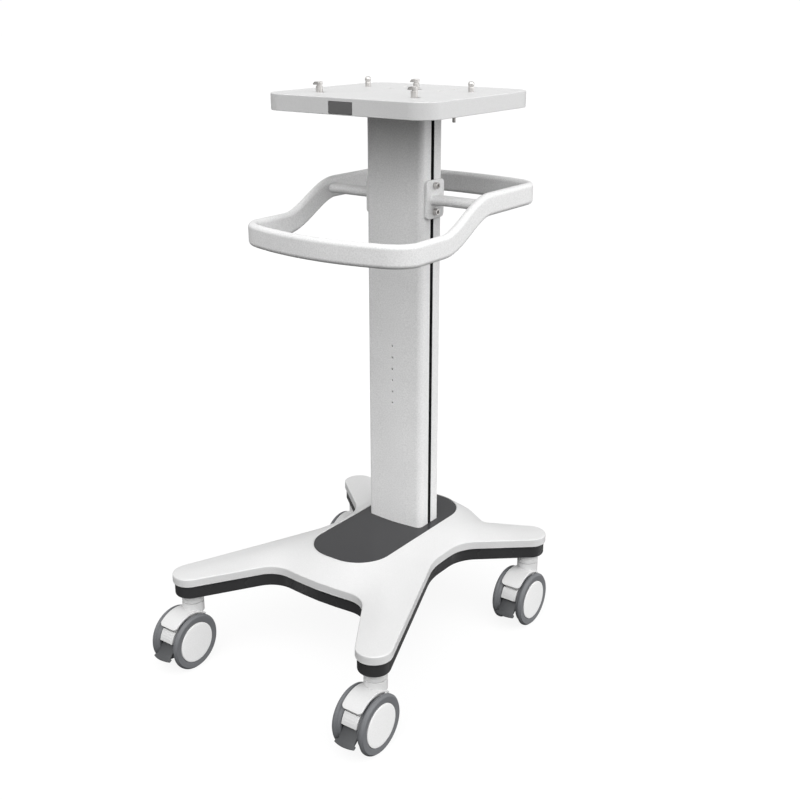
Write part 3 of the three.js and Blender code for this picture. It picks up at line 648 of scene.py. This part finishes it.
def column_back_corners():
    return mirrored([
        (0, SLOT_BACK + UNDERCUT - 0.01, 200),
        (COLUMN_HALF - LIP, SLOT_BACK + UNDERCUT, 0.3),
        (COLUMN_HALF - LIP, SLOT_BACK, 0.3),
        (COLUMN_HALF, SLOT_BACK, 0.4),
        (COLUMN_HALF, BACK_HIGH.y, 1.5),
        (0, BACK_HIGH.y + 0.01, 400),
    ])


def column_outline(grow):
    """The whole column's outline without its slots, grown all round."""
    return outline(mirrored([
        (0, FRONT_LOW.y - BOW - grow, 280),
        (COLUMN_HALF + grow, SHOULDER_Y - grow, COLUMN_CORNER),
        (COLUMN_HALF + grow, BACK_HIGH.y + grow, 1.5 + grow),
        (0, BACK_HIGH.y + grow + 0.01, 400),
    ]), 3, 400)


def paint_slot_shade(target):
    """Paints the faces inside the slots dark as painted shade, from just behind the lips' outer faces."""
    target.data.materials.append(MATERIALS["dark_frame"])
    for face in target.data.polygons:
        x, y = abs(face.center.x) / MM, face.center.y / MM
        if x < COLUMN_HALF - 0.3 and SLOT_FRONT - UNDERCUT - 0.2 < y < SLOT_BACK + UNDERCUT + 0.2:
            face.material_index = 1
    target.data.update()


def column():
    """Two extrusions with the slots between them, and a spine that closes the gap, painted dark as painted
    shade inside the slots.
    """
    low, high = FRONT_LOW.z, FRONT_HIGH.z
    # The levels in between keep the faces beside the holes short.
    levels = [low, low + 40, 380, 510, high]
    front = outline(column_front_corners(), 3, 400)
    body = mesh_object("column_front_extrusion", loft([front.ring(0, z) for z in levels]))
    hole = along_y(revolve([(HOLE_RADIUS, -14), (HOLE_RADIUS, 6)], 24))
    heights = [LOWEST_HOLE + HOLE_PITCH * k for k in range(HOLE_COUNT)]
    combined(body, [moved(hole, 0, FRONT_LOW.y + 2, z) for z in heights])
    paint_slot_shade(finished(body, "stand", "white_coat", ["column_front"]))
    back = outline(column_back_corners(), 6, 400)
    rear = mesh_object("column_back_extrusion", loft([back.ring(0, z) for z in (low, high)]))
    paint_slot_shade(finished(rear, "stand", "white_coat", ["column_back"]))
    # The spine's dark paint is painted shade at the bottom of the slots.
    spine_front, spine_back = SLOT_FRONT - UNDERCUT + 0.3, SLOT_BACK + UNDERCUT - 0.2
    spine = box_solid(-SPINE_HALF, SPINE_HALF, spine_front, spine_back, low, high)
    return finished(eased(mesh_object("column_spine", spine), 0.4), "stand", "dark_frame", [])


def base_panel():
    low, high = PANEL_LOW.z, PANEL_HIGH.z
    sheet = mesh_object("base_panel_sheet", prism(panel_edge, plain_profile(low, high, 0.4, 0.7)))
    column_hole = column_outline(0.4)
    combined(sheet, [loft([column_hole.ring(0, low - 5), column_hole.ring(0, high + 5)])])
    return finished(sheet, "stand", "dark_panel", ["base_panel"])


# ---- platform and latch

TRAY_LOW, TRAY_HIGH = placed_box("platform_tray")
TRAY_CORNER = 34.5
PLATE_TOP = placed_box("platform_base_plate")[0].z + 3
BUTTON_LOW, BUTTON_HIGH = placed_box("release_button")
BUTTON_BOTTOM = TRAY_HIGH.z - 22.5
LATCH_TRAVEL = 4.5
PIN_RADIUS = 5
PIN_FOOT, PIN_TOP = [corner.z for corner in placed_box("hook_pin_rear")]
HOOK_PINS = ("front_left", "front_right", "rear")


def hook_pin_axis(place):
    """Where a hook pin's round post stands. Its box also holds the nose, which reaches towards -X."""
    low, high = placed_box("hook_pin_" + place)
    return high.x - PIN_RADIUS, (low.y + high.y) / 2


def travel_slot(x, y, radius, low, high):
    """A slot with round ends, swept towards +X by the latch's travel."""
    right = arc((x + LATCH_TRAVEL, y), radius, -90, 90, 10)
    left = arc((x, y), radius, 90, 270, 10)
    return loft([[(px, py, z) for px, py in right + left] for z in (low, high)])


def tray():
    edge = rectangle(TRAY_LOW.x, TRAY_HIGH.x, TRAY_LOW.y, TRAY_HIGH.y, TRAY_CORNER, 4)
    low, top = TRAY_LOW.z, TRAY_HIGH.z
    stops = [(3, top - 4, 1), (3, low), (2.4, low, 0.6), (0, low, 0.8), (0, top, 1.6), (20, top)]
    body = mesh_object("platform_tray_moulding", prism(edge, rounded([(20, top - 4)] + stops, 15)))
    half = BUTTON_HIGH.x + 0.5
    recess_low, recess_high = BUTTON_BOTTOM - 0.5, BUTTON_HIGH.z + 0.5
    tools = [box_solid(-half, half, TRAY_LOW.y - 2, TRAY_LOW.y + 6, recess_low, recess_high)]
    for place in HOOK_PINS:
        tools.append(travel_slot(*hook_pin_axis(place), PIN_RADIUS + 0.6, top - 6, top + 2))
    for side in SIDES:
        at = placed_middle("locating_pin_" + side)
        tools.append(moved(revolve([(4.5, top - 6), (4.5, top + 2)], 48), at.x, at.y))
    for place in PLACES:
        at = placed_middle("platform_screw_" + place)
        stops = [(2.4, top - 6), (2.4, top - 2.8), (6.3, top - 2.8), (6.3, top - 0.4), (6.9, top + 0.2)]
        tools.append(moved(revolve(stops + [(6.9, top + 2)], 48), at.x, at.y))
    combined(body, tools)
    return finished(body, "stand", "white_plastic", ["platform_tray"])


def platform_screws():
    top = TRAY_HIGH.z - 0.25
    low = TRAY_LOW.z + 0.5
    stops = [(2, low), (2, top - 2.3), (6, top - 2.3)]
    stops += rounded([(6, top - 2.3), (6, top, 0.5), (2.6, top)])[1:-1]
    stops += [(2.5, top, 1), (2.4, top - 0.2, 1), (2.4, top - 1.4, 1), (0.01, top - 1.6)]
    for place in PLACES:
        at = placed_middle("platform_screw_" + place)
        screw = mesh_object("platform_screw_head_" + place, revolve(stops, 48))
        finished(screw, "stand", "steel", ["platform_screw_" + place], (at.x, at.y, 0))


def release_button():
    """A flat cap, a stem, and a wedge behind it that pushes the latch sideways."""
    front, top = BUTTON_LOW.y, BUTTON_HIGH.z
    face = box_solid(BUTTON_LOW.x, BUTTON_HIGH.x, front, front + 4, BUTTON_BOTTOM, top)
    body = eased(mesh_object("release_button_cap", face), 0.7, 3)
    stem = box_solid(-17, 17, front + 3, front + 12, BUTTON_BOTTOM + 2, top - 3)
    combined(body, [stem], "UNION")
    wedge = [(-14, 11), (14, 11), (-3, 28), (-14, 28)]
    rings = [[(x, front + y, z) for x, y in wedge] for z in (PLATE_TOP + 0.6, PLATE_TOP + 5.6)]
    combined(body, [loft(rings)], "UNION")
    return finished(body, "release_button", "button_grey", ["release_button"])


def hook_pins():
    """Round posts with an undercut neck and a head whose nose reaches towards -X."""
    top = PIN_TOP
    stops = [(PIN_RADIUS, PIN_FOOT), (PIN_RADIUS, top - 6.2, 0.3), (3.7, top - 6.2, 0.2)]
    stops += [(3.7, top - 4.6, 0.2), (PIN_RADIUS, top - 4.6, 0.3), (PIN_RADIUS, top, 0.7), (2, top)]
    for place in HOOK_PINS:
        post = mesh_object("hook_pin_post_" + place, revolve(rounded(stops, 20), 48))
        nose = [(0, top - 4.6), (-8.2, top - 4.6), (-8.2, top - 2.9), (-5.2, top - 0.25), (0, top - 0.25)]
        wedge = loft([[(x, y, z) for x, z in nose] for y in (-4.5, 4.5)])
        combined(post, [wedge], "UNION")
        eased(post, 0.25, 2, 50)
        finished(post, "latch", "steel", ["hook_pin_" + place], (*hook_pin_axis(place), 0))


def locating_pins():
    """Round pins with a slight waist below the head."""
    top = PIN_TOP
    foot = placed_box("locating_pin_left")[0].z
    stops = [(4.3, foot), (4.3, top - 9, 2), (4, top - 8, 2), (4, top - 6.4, 1), (4.7, top - 5.6, 0.5)]
    stops += [(4.7, top - 2.6, 3), (3, top, 2), (0.05, top)]
    for side in SIDES:
        at = placed_middle("locating_pin_" + side)
        pin = mesh_object("locating_pin_turned_" + side, revolve(rounded(stops, 12), 48))
        finished(pin, "stand", "steel", ["locating_pin_" + side], (at.x, at.y, 0))


# ---- handle

HANDLE_LOW, HANDLE_HIGH = placed_box("handle_loop")
TUBE_THICK = 13.8
TUBE_DEEP = 34
HANDLE = {
    "front": HANDLE_LOW.y + TUBE_THICK / 2,
    "back": HANDLE_HIGH.y - TUBE_THICK / 2,
    "front_half": HANDLE_HIGH.x - TUBE_THICK / 2,
    "back_half": HANDLE_HIGH.x - TUBE_THICK / 2 - 1.2,
    "front_bow": 17.4,
    "back_bow": 11.7,
    "front_corner": 31,
    "back_corner": 32,
    "low": HANDLE_LOW.z + TUBE_DEEP / 2,
    "high": HANDLE_HIGH.z - TUBE_DEEP / 2,
    "rise_from": -3.2,
    "rise_to": 115.2,
}


def bezier(points, count):
    """Points on a quadratic or cubic Bezier curve, without its end."""
    made = []
    degree = len(points) - 1
    for k in range(count):
        t = k / count
        weights = [math.comb(degree, i) * t ** i * (1 - t) ** (degree - i) for i in range(degree + 1)]
        made.append(sum((Vector(p) * w for p, w in zip(points, weights)), Vector((0, 0))))
    return made


def handle_plan():
    """The loop's centreline in plan, from the middle of the front bar round the right side to the back."""
    h = HANDLE
    front_x = h["front_half"] - h["front_corner"]
    front_y = h["front"] + h["front_bow"]
    front_slope = 2 * h["front_bow"] / front_x
    back_x = h["back_half"] - h["back_corner"]
    back_y = h["back"] - h["back_bow"]
    back_slope = 2 * h["back_bow"] / back_x
    side_front = (h["front_half"], front_y + h["front_corner"] * (1 + front_slope / 2))
    side_back = (h["back_half"], back_y - h["back_corner"])
    front_pull = 0.55 * h["front_corner"]
    back_pull = 0.55 * h["back_corner"]
    side_middle = ((side_front[0] + side_back[0]) / 2, (side_front[1] + side_back[1]) / 2)
    return (
        bezier([(0, h["front"]), (front_x / 2, h["front"]), (front_x, front_y)], 20)
        + bezier([
            (front_x, front_y),
            (front_x + front_pull, front_y + front_slope * front_pull),
            (side_front[0], side_front[1] - front_pull),
            side_front,
        ], 14)
        + bezier([side_front, side_middle, side_back], 56)
        + bezier([
            side_back,
            (side_back[0], side_back[1] + back_pull),
            (back_x + back_pull, back_y - back_slope * back_pull),
            (back_x, back_y),
        ], 14)
        + bezier([(back_x, back_y), (back_x / 2, h["back"]), (0, h["back"])], 20)
        + [Vector((0, h["back"]))]
    )


def handle_height(y):
    """The centreline's height: low at the front, high at the back, with a smooth rise between."""
    share = min(1, max(0, (y - HANDLE["rise_from"]) / (HANDLE["rise_to"] - HANDLE["rise_from"])))
    return HANDLE["low"] + (HANDLE["high"] - HANDLE["low"]) * share * share * (3 - 2 * share)


def handle():
    """A tall section with round upper and lower edges, swept round the loop."""
    right = handle_plan()
    plan = right + [Vector((-p.x, p.y)) for p in right[-2:0:-1]]
    centres = [Vector((p.x, p.y, handle_height(p.y))) for p in plan]
    radius = TUBE_THICK / 2
    flat = TUBE_DEEP / 2 - radius
    section = arc((0, flat), radius, 0, 180, 11.25) + arc((0, -flat), radius, 180, 360, 11.25)
    rings = []
    for i, centre in enumerate(centres):
        ahead = (centres[(i + 1) % len(centres)] - centres[i - 1]).normalized()
        outward = ahead.cross(Vector((0, 0, 1))).normalized()
        up = outward.cross(ahead)
        rings.append([tuple(centre + outward * x + up * y) for x, y in section])
    tube = mesh_object("handle_tube", loft(rings, closed=True))
    return finished(tube, "stand", "white_coat", ["handle_loop"])


# The plates reach a little lower than in CAD, and the tubes are a little slimmer and lower.
PLATE_DROP = 2
TUBE_SLIMMER = 1.6
TUBE_DROP = 0.8


def side_span(node):
    """How far a node at one side starts and ends from the stand's middle, and its box."""
    low, high = placed_box(node)
    return *sorted((abs(low.x), abs(high.x))), low, high


def handle_brackets():
    for side, sign in SIDES.items():
        start, end, low, high = side_span("bracket_plate_" + side)
        plate_edge = rectangle(low.y, high.y, low.z - PLATE_DROP, high.z, 7, 6)
        profile = plain_profile(start, end, 0.4, 0.9)
        plate = mesh_object("bracket_plate_bent_" + side, axes(prism(plate_edge, profile), (2, 0, 1)))
        if sign < 0:
            flip_x(plate)
        finished(plate, "stand", "white_coat", ["bracket_plate_" + side])
        cross_tube(side, sign)
        for level in ("lower", "upper"):
            bracket_screw(level, side, sign)


def cross_tube(side, sign):
    """An oval bar from the column's side to the bracket plate, with a weld round its inner end."""
    start, end, low, high = side_span("cross_tube_" + side)
    middle_y = (low.y + high.y) / 2
    middle_z = (low.z + high.z) / 2 - TUBE_DROP
    radius = (high.z - low.z) / 2 - TUBE_SLIMMER
    flat = (high.y - low.y) / 2 - radius - TUBE_SLIMMER / 2
    ends = outline([
        (flat + radius, -radius, radius - 0.01),
        (flat + radius, radius, radius - 0.01),
        (-flat - radius, radius, radius - 0.01),
        (-flat - radius, -radius, radius - 0.01),
    ], 9, 400)
    weld = 1.6
    stops = [(-weld, start), (-weld * 0.45, start + 0.45), (-0.2, start + 1.1), (0, start + weld + 0.2)]
    stops += [(0, end - 2), (0, end + 1)]
    rings = []
    for inset, x in stops:
        rings.append([(sign * x, middle_y + y, middle_z + z) for y, z in ends.inset(inset)])
    tube = mesh_object("cross_tube_oval_" + side, loft(rings))
    finished(tube, "stand", "white_coat", ["cross_tube_" + side])


def bracket_screw(level, side, sign):
    node = "bracket_screw_" + level + "_" + side
    start, end, *_ = side_span(node)
    head = end - 6
    stops = [(2.9, start), (2.9, head)]
    stops += rounded([(2.9, head), (5, head, 0.3), (5, end, 0.6), (3, end)])[1:-1]
    stops += [(2.75, end, 1), (2.5, end - 0.3, 1), (2.5, end - 3.2, 1), (0.01, end - 3.8)]
    screw = along_x(revolve(stops, 48))
    if sign < 0:
        screw = mirror_x(screw)
    made = mesh_object(node + "_socket", screw)
    middle = placed_middle(node)
    finished(made, "stand", "steel", [node], (0, middle.y, middle.z))


# ---- casters

TYRE_LOW, TYRE_HIGH = placed_box("tyre_right_front_right")
AXLE_Y = (TYRE_LOW.y + TYRE_HIGH.y) / 2 + SWIVEL_Y
TYRE_RADIUS = (TYRE_HIGH.z - TYRE_LOW.z) / 2
STEM_LOW, STEM_HIGH = placed_box("caster_stem_front_right")
SPINDLE_LOW = 98.5
COLLAR_LOW = 107.9
COLLAR_HIGH = FRAME_LOW - 0.3
COLLAR_RADIUS = (STEM_HIGH.x - STEM_LOW.x) / 2


def about_axle(radius, degrees):
    """A point in side view (y, z) at a radius and an angle about the axle. Angles rise from the front."""
    angle = math.radians(degrees)
    return (AXLE_Y - radius * math.cos(angle), AXLE_Z + radius * math.sin(angle))


def bent_round_axle(solid, radius):
    """Bends a flat solid (x across, y along the arc from its front, z out) round the axle."""
    points, faces = solid
    bent = []
    for x, along, out in points:
        y, z = about_axle(radius + out, math.degrees(along / radius))
        bent.append((x, y, z))
    return bent, faces


def sideways(side_view, half_width):
    """A side-view line (y, z) made into a solid that reaches evenly to both sides."""
    return loft([[(x, y, z) for y, z in side_view] for x in (-half_width, half_width)])


def caster_stem():
    """The spindle, with its stepped collar between the caster and the base."""
    step = COLLAR_LOW + 6.5
    stops = [(5, SPINDLE_LOW), (5, COLLAR_LOW), (COLLAR_RADIUS, COLLAR_LOW, 0.7)]
    stops += [(COLLAR_RADIUS, step, 0.9), (COLLAR_RADIUS - 1.1, step, 0.3)]
    stops += [(COLLAR_RADIUS - 1.1, COLLAR_HIGH, 0.4), (5.6, COLLAR_HIGH)]
    stops += [(5.6, STEM_HIGH.z), (0.05, STEM_HIGH.z)]
    return mesh_object("caster_stem", revolve([(0.05, SPINDLE_LOW)] + rounded(stops, 20), 96))


# The hood bends round the axle from one angle to another, counted up from the front.
HOOD_RADIUS = 44.7
HOOD_THICK = 2.8
HOOD_HALF = 17.7
HOOD_FROM = 43
HOOD_TO = 140


def caster_fork():
    """The swivelling body: a hood over the tyres' shoulders, a neck, and a web down to the axle."""
    first = math.radians(HOOD_FROM) * HOOD_RADIUS
    last = math.radians(HOOD_TO) * HOOD_RADIUS
    corners = [(-HOOD_HALF, first, 6.5), (HOOD_HALF, first, 6.5), (HOOD_HALF, last, 9), (-HOOD_HALF, last, 9)]
    edge = outline(corners, 6, 2.5)
    profile = plain_profile(0, HOOD_THICK, 0.3, 1.0, 18)
    hood = mesh_object("caster_fork", bent_round_axle(slab(edge, profile, 2.4), HOOD_RADIUS))
    web_line = [(8, SPINDLE_LOW), (-12, SPINDLE_LOW)]
    web_line += [about_axle(45, a) for a in (100, 90, 80, 70, 60, 50)]
    web_line += [about_axle(38, 44), about_axle(30, 26), about_axle(22, 8), about_axle(14, -10)]
    web_line += [about_axle(13, a) for a in (-30, -60, -90, -120, -150, -180)]
    web_line += rounded([about_axle(13, -180), (2, 72, 14), (8, 88, 6), (8, SPINDLE_LOW)], 15)[1:-1]
    web = eased(mesh_object("web", sideways(web_line[::-1], 12.6)), 0.8, 2, 40)
    neck_stops = [(0.05, 90), (COLLAR_RADIUS, 90), (COLLAR_RADIUS, 106.9, 0.7), (14, 106.9)]
    neck_stops += [(14, 107.6), (0.05, 107.6)]
    neck = revolve(rounded(neck_stops, 20), 96)
    combined(hood, [neck], "UNION")
    return combined(hood, [web], "UNION")


def caster_block():
    """The block below the hood: a smooth face with three low ribs in place of any marking."""
    radius = 40.8
    first = math.radians(13) * radius
    last = math.radians(41.2) * radius
    corners = [(-13.4, first, 1.2), (13.4, first, 1.2), (13.4, last, 0.8), (-13.4, last, 0.8)]
    edge = outline(corners, 20, 2.5)
    block = slab(edge, plain_profile(-7, 0, 0.3, 0.9, 22.5), 2.6)
    ribs = []
    for k, half in enumerate((8.6, 9.4, 7.8)):
        middle = first + 6.4 + 4.1 * k
        rib_edge = rectangle(-half, half, middle - 0.8, middle + 0.8, 0.75, 30, 2.5)
        ribs.append(slab(rib_edge, [(0, -0.4), (0, 0.12), (0.25, 0.3)], 2.6))
    made = mesh_object("caster_block", bent_round_axle(block, radius))
    return combined(made, [bent_round_axle(rib, radius) for rib in ribs], "UNION")


def brake_carrier():
    """The dark housing between the wheels behind the pedal. Its dark grey is partly the brake's own colour
    and partly painted shade for the recess there.
    """
    line = [about_axle(36, 16), about_axle(31, 26), about_axle(20, 20), about_axle(19, -25)]
    line += [about_axle(26, -22), about_axle(30, -8)]
    return eased(mesh_object("brake_carrier", sideways(line, 12.4)), 0.8, 2, 30)


def pedal_section(half, thick):
    """A rounded slab section as (x, depth) points, the same number of them at every size."""
    corner = min(1.1, thick * 0.35)
    flat = half - corner
    across = [flat * (1 - k / 6) for k in range(1, 12)]
    section = arc((flat, corner), corner, -90, 0, 30) + arc((flat, thick - corner), corner, 0, 90, 30)
    section += [(x, thick) for x in across]
    section += arc((-flat, thick - corner), corner, 90, 180, 30)
    section += arc((-flat, corner), corner, 180, 270, 30)
    return section + [(-x, 0) for x in across]


def brake_pedal():
    """A shovel between the tyres: crowned across, bowed at its top, and widest at the lip for the foot."""
    # Each row: y and z of the upper face, the thickness, half the width, and how far the sides run ahead.
    rows = [
        (-47.0, 57.5, 2.0, 12.4, 0),
        (-50.5, 58.6, 5.0, 12.8, 0),
        (-54.5, 57.4, 6.0, 13.2, 1.2),
        (-58.2, 54.0, 5.6, 13.8, 2.4),
        (-60.8, 50.6, 4.8, 14.3, 2.0),
        (-64.2, 46.0, 4.2, 14.6, 1.0),
        (-67.8, 41.8, 3.6, 14.5, 0),
        (-70.6, 39.2, 3.2, 14.3, -0.8),
        (-70.9, 39.0, 3.1, 16.8, -0.8),
        (-73.6, 37.2, 2.3, 17.4, -2.2),
        (-76.2, 35.9, 1.8, 17.5, -3.0),
        (-77.2, 35.5, 1.1, 17.3, -3.4),
    ]
    crown = 1.4
    rings = []
    for i, (y, z, thick, half, bow) in enumerate(rows):
        before, after = rows[max(i - 1, 0)], rows[min(i + 1, len(rows) - 1)]
        along = Vector((after[0] - before[0], after[1] - before[1])).normalized()
        inward = Vector((-along.y, along.x))
        ring = []
        for x, depth in pedal_section(half, thick):
            share = (x / half) ** 2
            at = Vector((y, z)) + inward * (depth + crown * share) + along * (bow * share)
            ring.append((x, at.x, at.y))
        rings.append(ring)
    return mesh_object("brake_pedal", loft(rings))


def tyre():
    """A round-shouldered ring for the wheel on the right, about the axle."""
    section = [(35.8, 14.6, 0.4), (39.6, 14.6, 1.6), (41.8, 18.9, 1.4), (43.6, 20.3, 1)]
    section += [(TYRE_RADIUS, 22.2, 1.2), (TYRE_RADIUS, 24.8, 2.2), (42.4, 27.8, 1.2)]
    section += [(36.2, 27.3, 1), (33, 26.8, 0.4), (33, 25.4), (35.8, 25.4)]
    return mesh_object("tyre", along_x(revolve(rounded(section, 15, closed=True), 128, closed=True)))


def wheel_disc():
    """The smooth white disc outside each wheel, slightly domed."""
    stops = [(0.05, 22), (30, 22), (32.5, 24.2), (32.5, 27.8, 0.6), (30, 28.1, 8), (0.05, 28.3)]
    return mesh_object("wheel_disc", along_x(revolve(rounded(stops, 15), 128)))


def wheel_core():
    """The hub between the disc and the bearing, with a recessed ring towards the fork."""
    stops = [(4.3, 14.8), (9, 14.8, 0.6), (10, 17.5, 1), (27, 17.5, 1.5), (29, 14.9, 0.8)]
    stops += [(35.6, 14.9, 0.4), (35.6, 25.2), (29, 25.2), (29, 21.7), (4.3, 21.7)]
    return mesh_object("wheel_core", along_x(revolve(rounded(stops, 20, closed=True), 96, closed=True)))


def copied(pattern, name):
    made = bpy.data.objects.new(name, pattern.data.copy())
    bpy.context.scene.collection.objects.link(made)
    return made


def casters():
    """Makes each kind of piece once, and copies it to the four casters and their eight wheels."""
    swivelling = [
        (caster_stem(), "caster_stem_{0}", "stand", "white_plastic", "collar_{0}"),
        (caster_fork(), "caster_fork_{0}", "caster_{0}", "white_plastic", "hood_and_neck_{0}"),
        (caster_block(), None, "caster_{0}", "white_plastic", "fork_block_{0}"),
        # The carrier's dark grey is partly painted shade in the recess below the block.
        (brake_carrier(), None, "caster_{0}", "pedal_grey", "brake_carrier_{0}"),
        (brake_pedal(), "brake_pedal_{0}", "brake_{0}", "pedal_grey", "brake_pedal_moulding_{0}"),
    ]
    rolling = [
        (tyre(), "tyre_{1}_{0}", "tyre_grey", "tyre_grey", "tyre_tread_{1}_{0}"),
        # The discs take the lighter copy of the white plastic as painted light.
        (wheel_disc(), "wheel_{1}_{0}", "white_plastic", "wheel_white_painted_light", "wheel_disc_{1}_{0}"),
        (wheel_core(), None, "pedal_grey", "pedal_grey", "wheel_core_{1}_{0}"),
    ]
    for place in PLACES:
        x, y = SWIVELS[place]
        for pattern, node, body, slot, name in swivelling:
            copy = copied(pattern, name.format(place))
            nodes = [node.format(place)] if node else []
            finished(copy, body.format(place), slot, nodes, (x, y, 0))
        for side, sign in SIDES.items():
            body = "wheel_" + side + "_" + place
            for pattern, node, slot, finish, name in rolling:
                copy = copied(pattern, name.format(place, side))
                if sign < 0:
                    flip_x(copy)
                nodes = [node.format(place, side)] if node else []
                finished(copy, body, slot, nodes, (x, y + AXLE_Y, AXLE_Z), finish)
    for pattern, *_ in swivelling + rolling:
        bpy.data.objects.remove(pattern)


# ---- stage, light and camera


def glowing(name, grey, glow):
    """A finish that gives off most of its own light, so shadows on it stay faint."""
    paint = bpy.data.materials.new(name)
    paint.use_nodes = True
    shader = shader_of(paint)
    shader.inputs["Base Color"].default_value = (grey, grey, grey, 1)
    shader.inputs["Roughness"].default_value = 0.9
    shader.inputs["Specular IOR Level"].default_value = 0
    shader.inputs["Emission Color"].default_value = (1, 1, 1, 1)
    shader.inputs["Emission Strength"].default_value = glow
    return paint


def stage():
    """A white floor and a white dome behind everything. Neither lights the object."""
    bpy.ops.mesh.primitive_plane_add(size=70, location=(0, 0, -0.0005))
    floor = bpy.context.object
    floor.name = "floor"
    floor.data.materials.append(glowing("floor", 0.12, 0.88))
    bpy.ops.mesh.primitive_uv_sphere_add(segments=48, ring_count=24, radius=34)
    dome = bpy.context.object
    dome.name = "backdrop"
    dome.visible_shadow = False
    dome.data.materials.append(glowing("backdrop", 0, 1.02))
    for part in (floor, dome):
        part.visible_diffuse = False
        part.visible_glossy = False
        part.visible_transmission = False


# Soft lights all round: azimuth from +X in degrees, elevation, and strength.
LIGHTS = [
    (270, 60, 2.0),
    (315, 60, 0.4),
    (272, 32, 1.5),
    (315, 32, 0.9),
    (350, 50, 1.6),
    (0, 28, 1.4),
    (45, 5, 2.2),
    (120, 5, 0.9),
    (185, 22, 1.2),
]
LIGHT_FOCUS = 8


def world_light():
    """Adds up the soft lights. Each fades away from its middle as exp(focus * (cosine - 1))."""
    world = bpy.data.worlds.new("studio")
    bpy.context.scene.world = world
    world.use_nodes = True
    nodes, links = world.node_tree.nodes, world.node_tree.links
    place = nodes.new("ShaderNodeTexCoord")

    def computed(operation, first, second=None):
        step = nodes.new("ShaderNodeMath")
        step.operation = operation
        for socket, value in zip(step.inputs, (first, second)):
            if isinstance(value, (int, float)):
                socket.default_value = value
            elif value:
                links.new(value, socket)
        return step.outputs["Value"]

    total = 0.0
    for azimuth, elevation, strength in LIGHTS:
        turn, tilt = math.radians(azimuth), math.radians(elevation)
        cosine = nodes.new("ShaderNodeVectorMath")
        cosine.operation = "DOT_PRODUCT"
        links.new(place.outputs["Generated"], cosine.inputs[0])
        flat = math.cos(tilt)
        cosine.inputs[1].default_value = (flat * math.cos(turn), flat * math.sin(turn), math.sin(tilt))
        falloff = computed("MULTIPLY", computed("SUBTRACT", cosine.outputs["Value"], 1), LIGHT_FOCUS)
        share = computed("MULTIPLY", computed("EXPONENT", falloff), strength)
        total = computed("ADD", share, total)
    links.new(total, nodes["Background"].inputs["Strength"])
    nodes["Background"].inputs["Color"].default_value = (1, 1, 1, 1)


def camera():
    """Looks at the stand from its front right, from a little above the platform."""
    lens = bpy.data.cameras.new("camera")
    lens.lens = 49.83
    lens.sensor_width = 36
    lens.clip_end = 200
    made = bpy.data.objects.new("camera", lens)
    bpy.context.scene.collection.objects.link(made)
    made.location = (0.9966, -1.2677, 1.0053 + ORIGIN.z * MM)
    made.rotation_euler = (math.radians(70.13), 0, math.radians(36.02))
    bpy.context.scene.camera = made


bpy.context.scene.view_settings.view_transform = "Standard"
camera()
stage()
world_light()

base_cover()
base_frame()
base_panel()
column()
tray()
platform_screws()
release_button()
hook_pins()
locating_pins()
handle()
handle_brackets()
casters()

# These inner steel parts keep their CAD shapes.
inner_parts = ["platform_base_plate", "latch_slide", "latch_spring"]
inner_parts += ["caster_axle_" + place for place in PLACES]
for name in inner_parts:
    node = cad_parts[name]
    node.data.materials.clear()
    node.data.materials.append(MATERIALS["steel"])
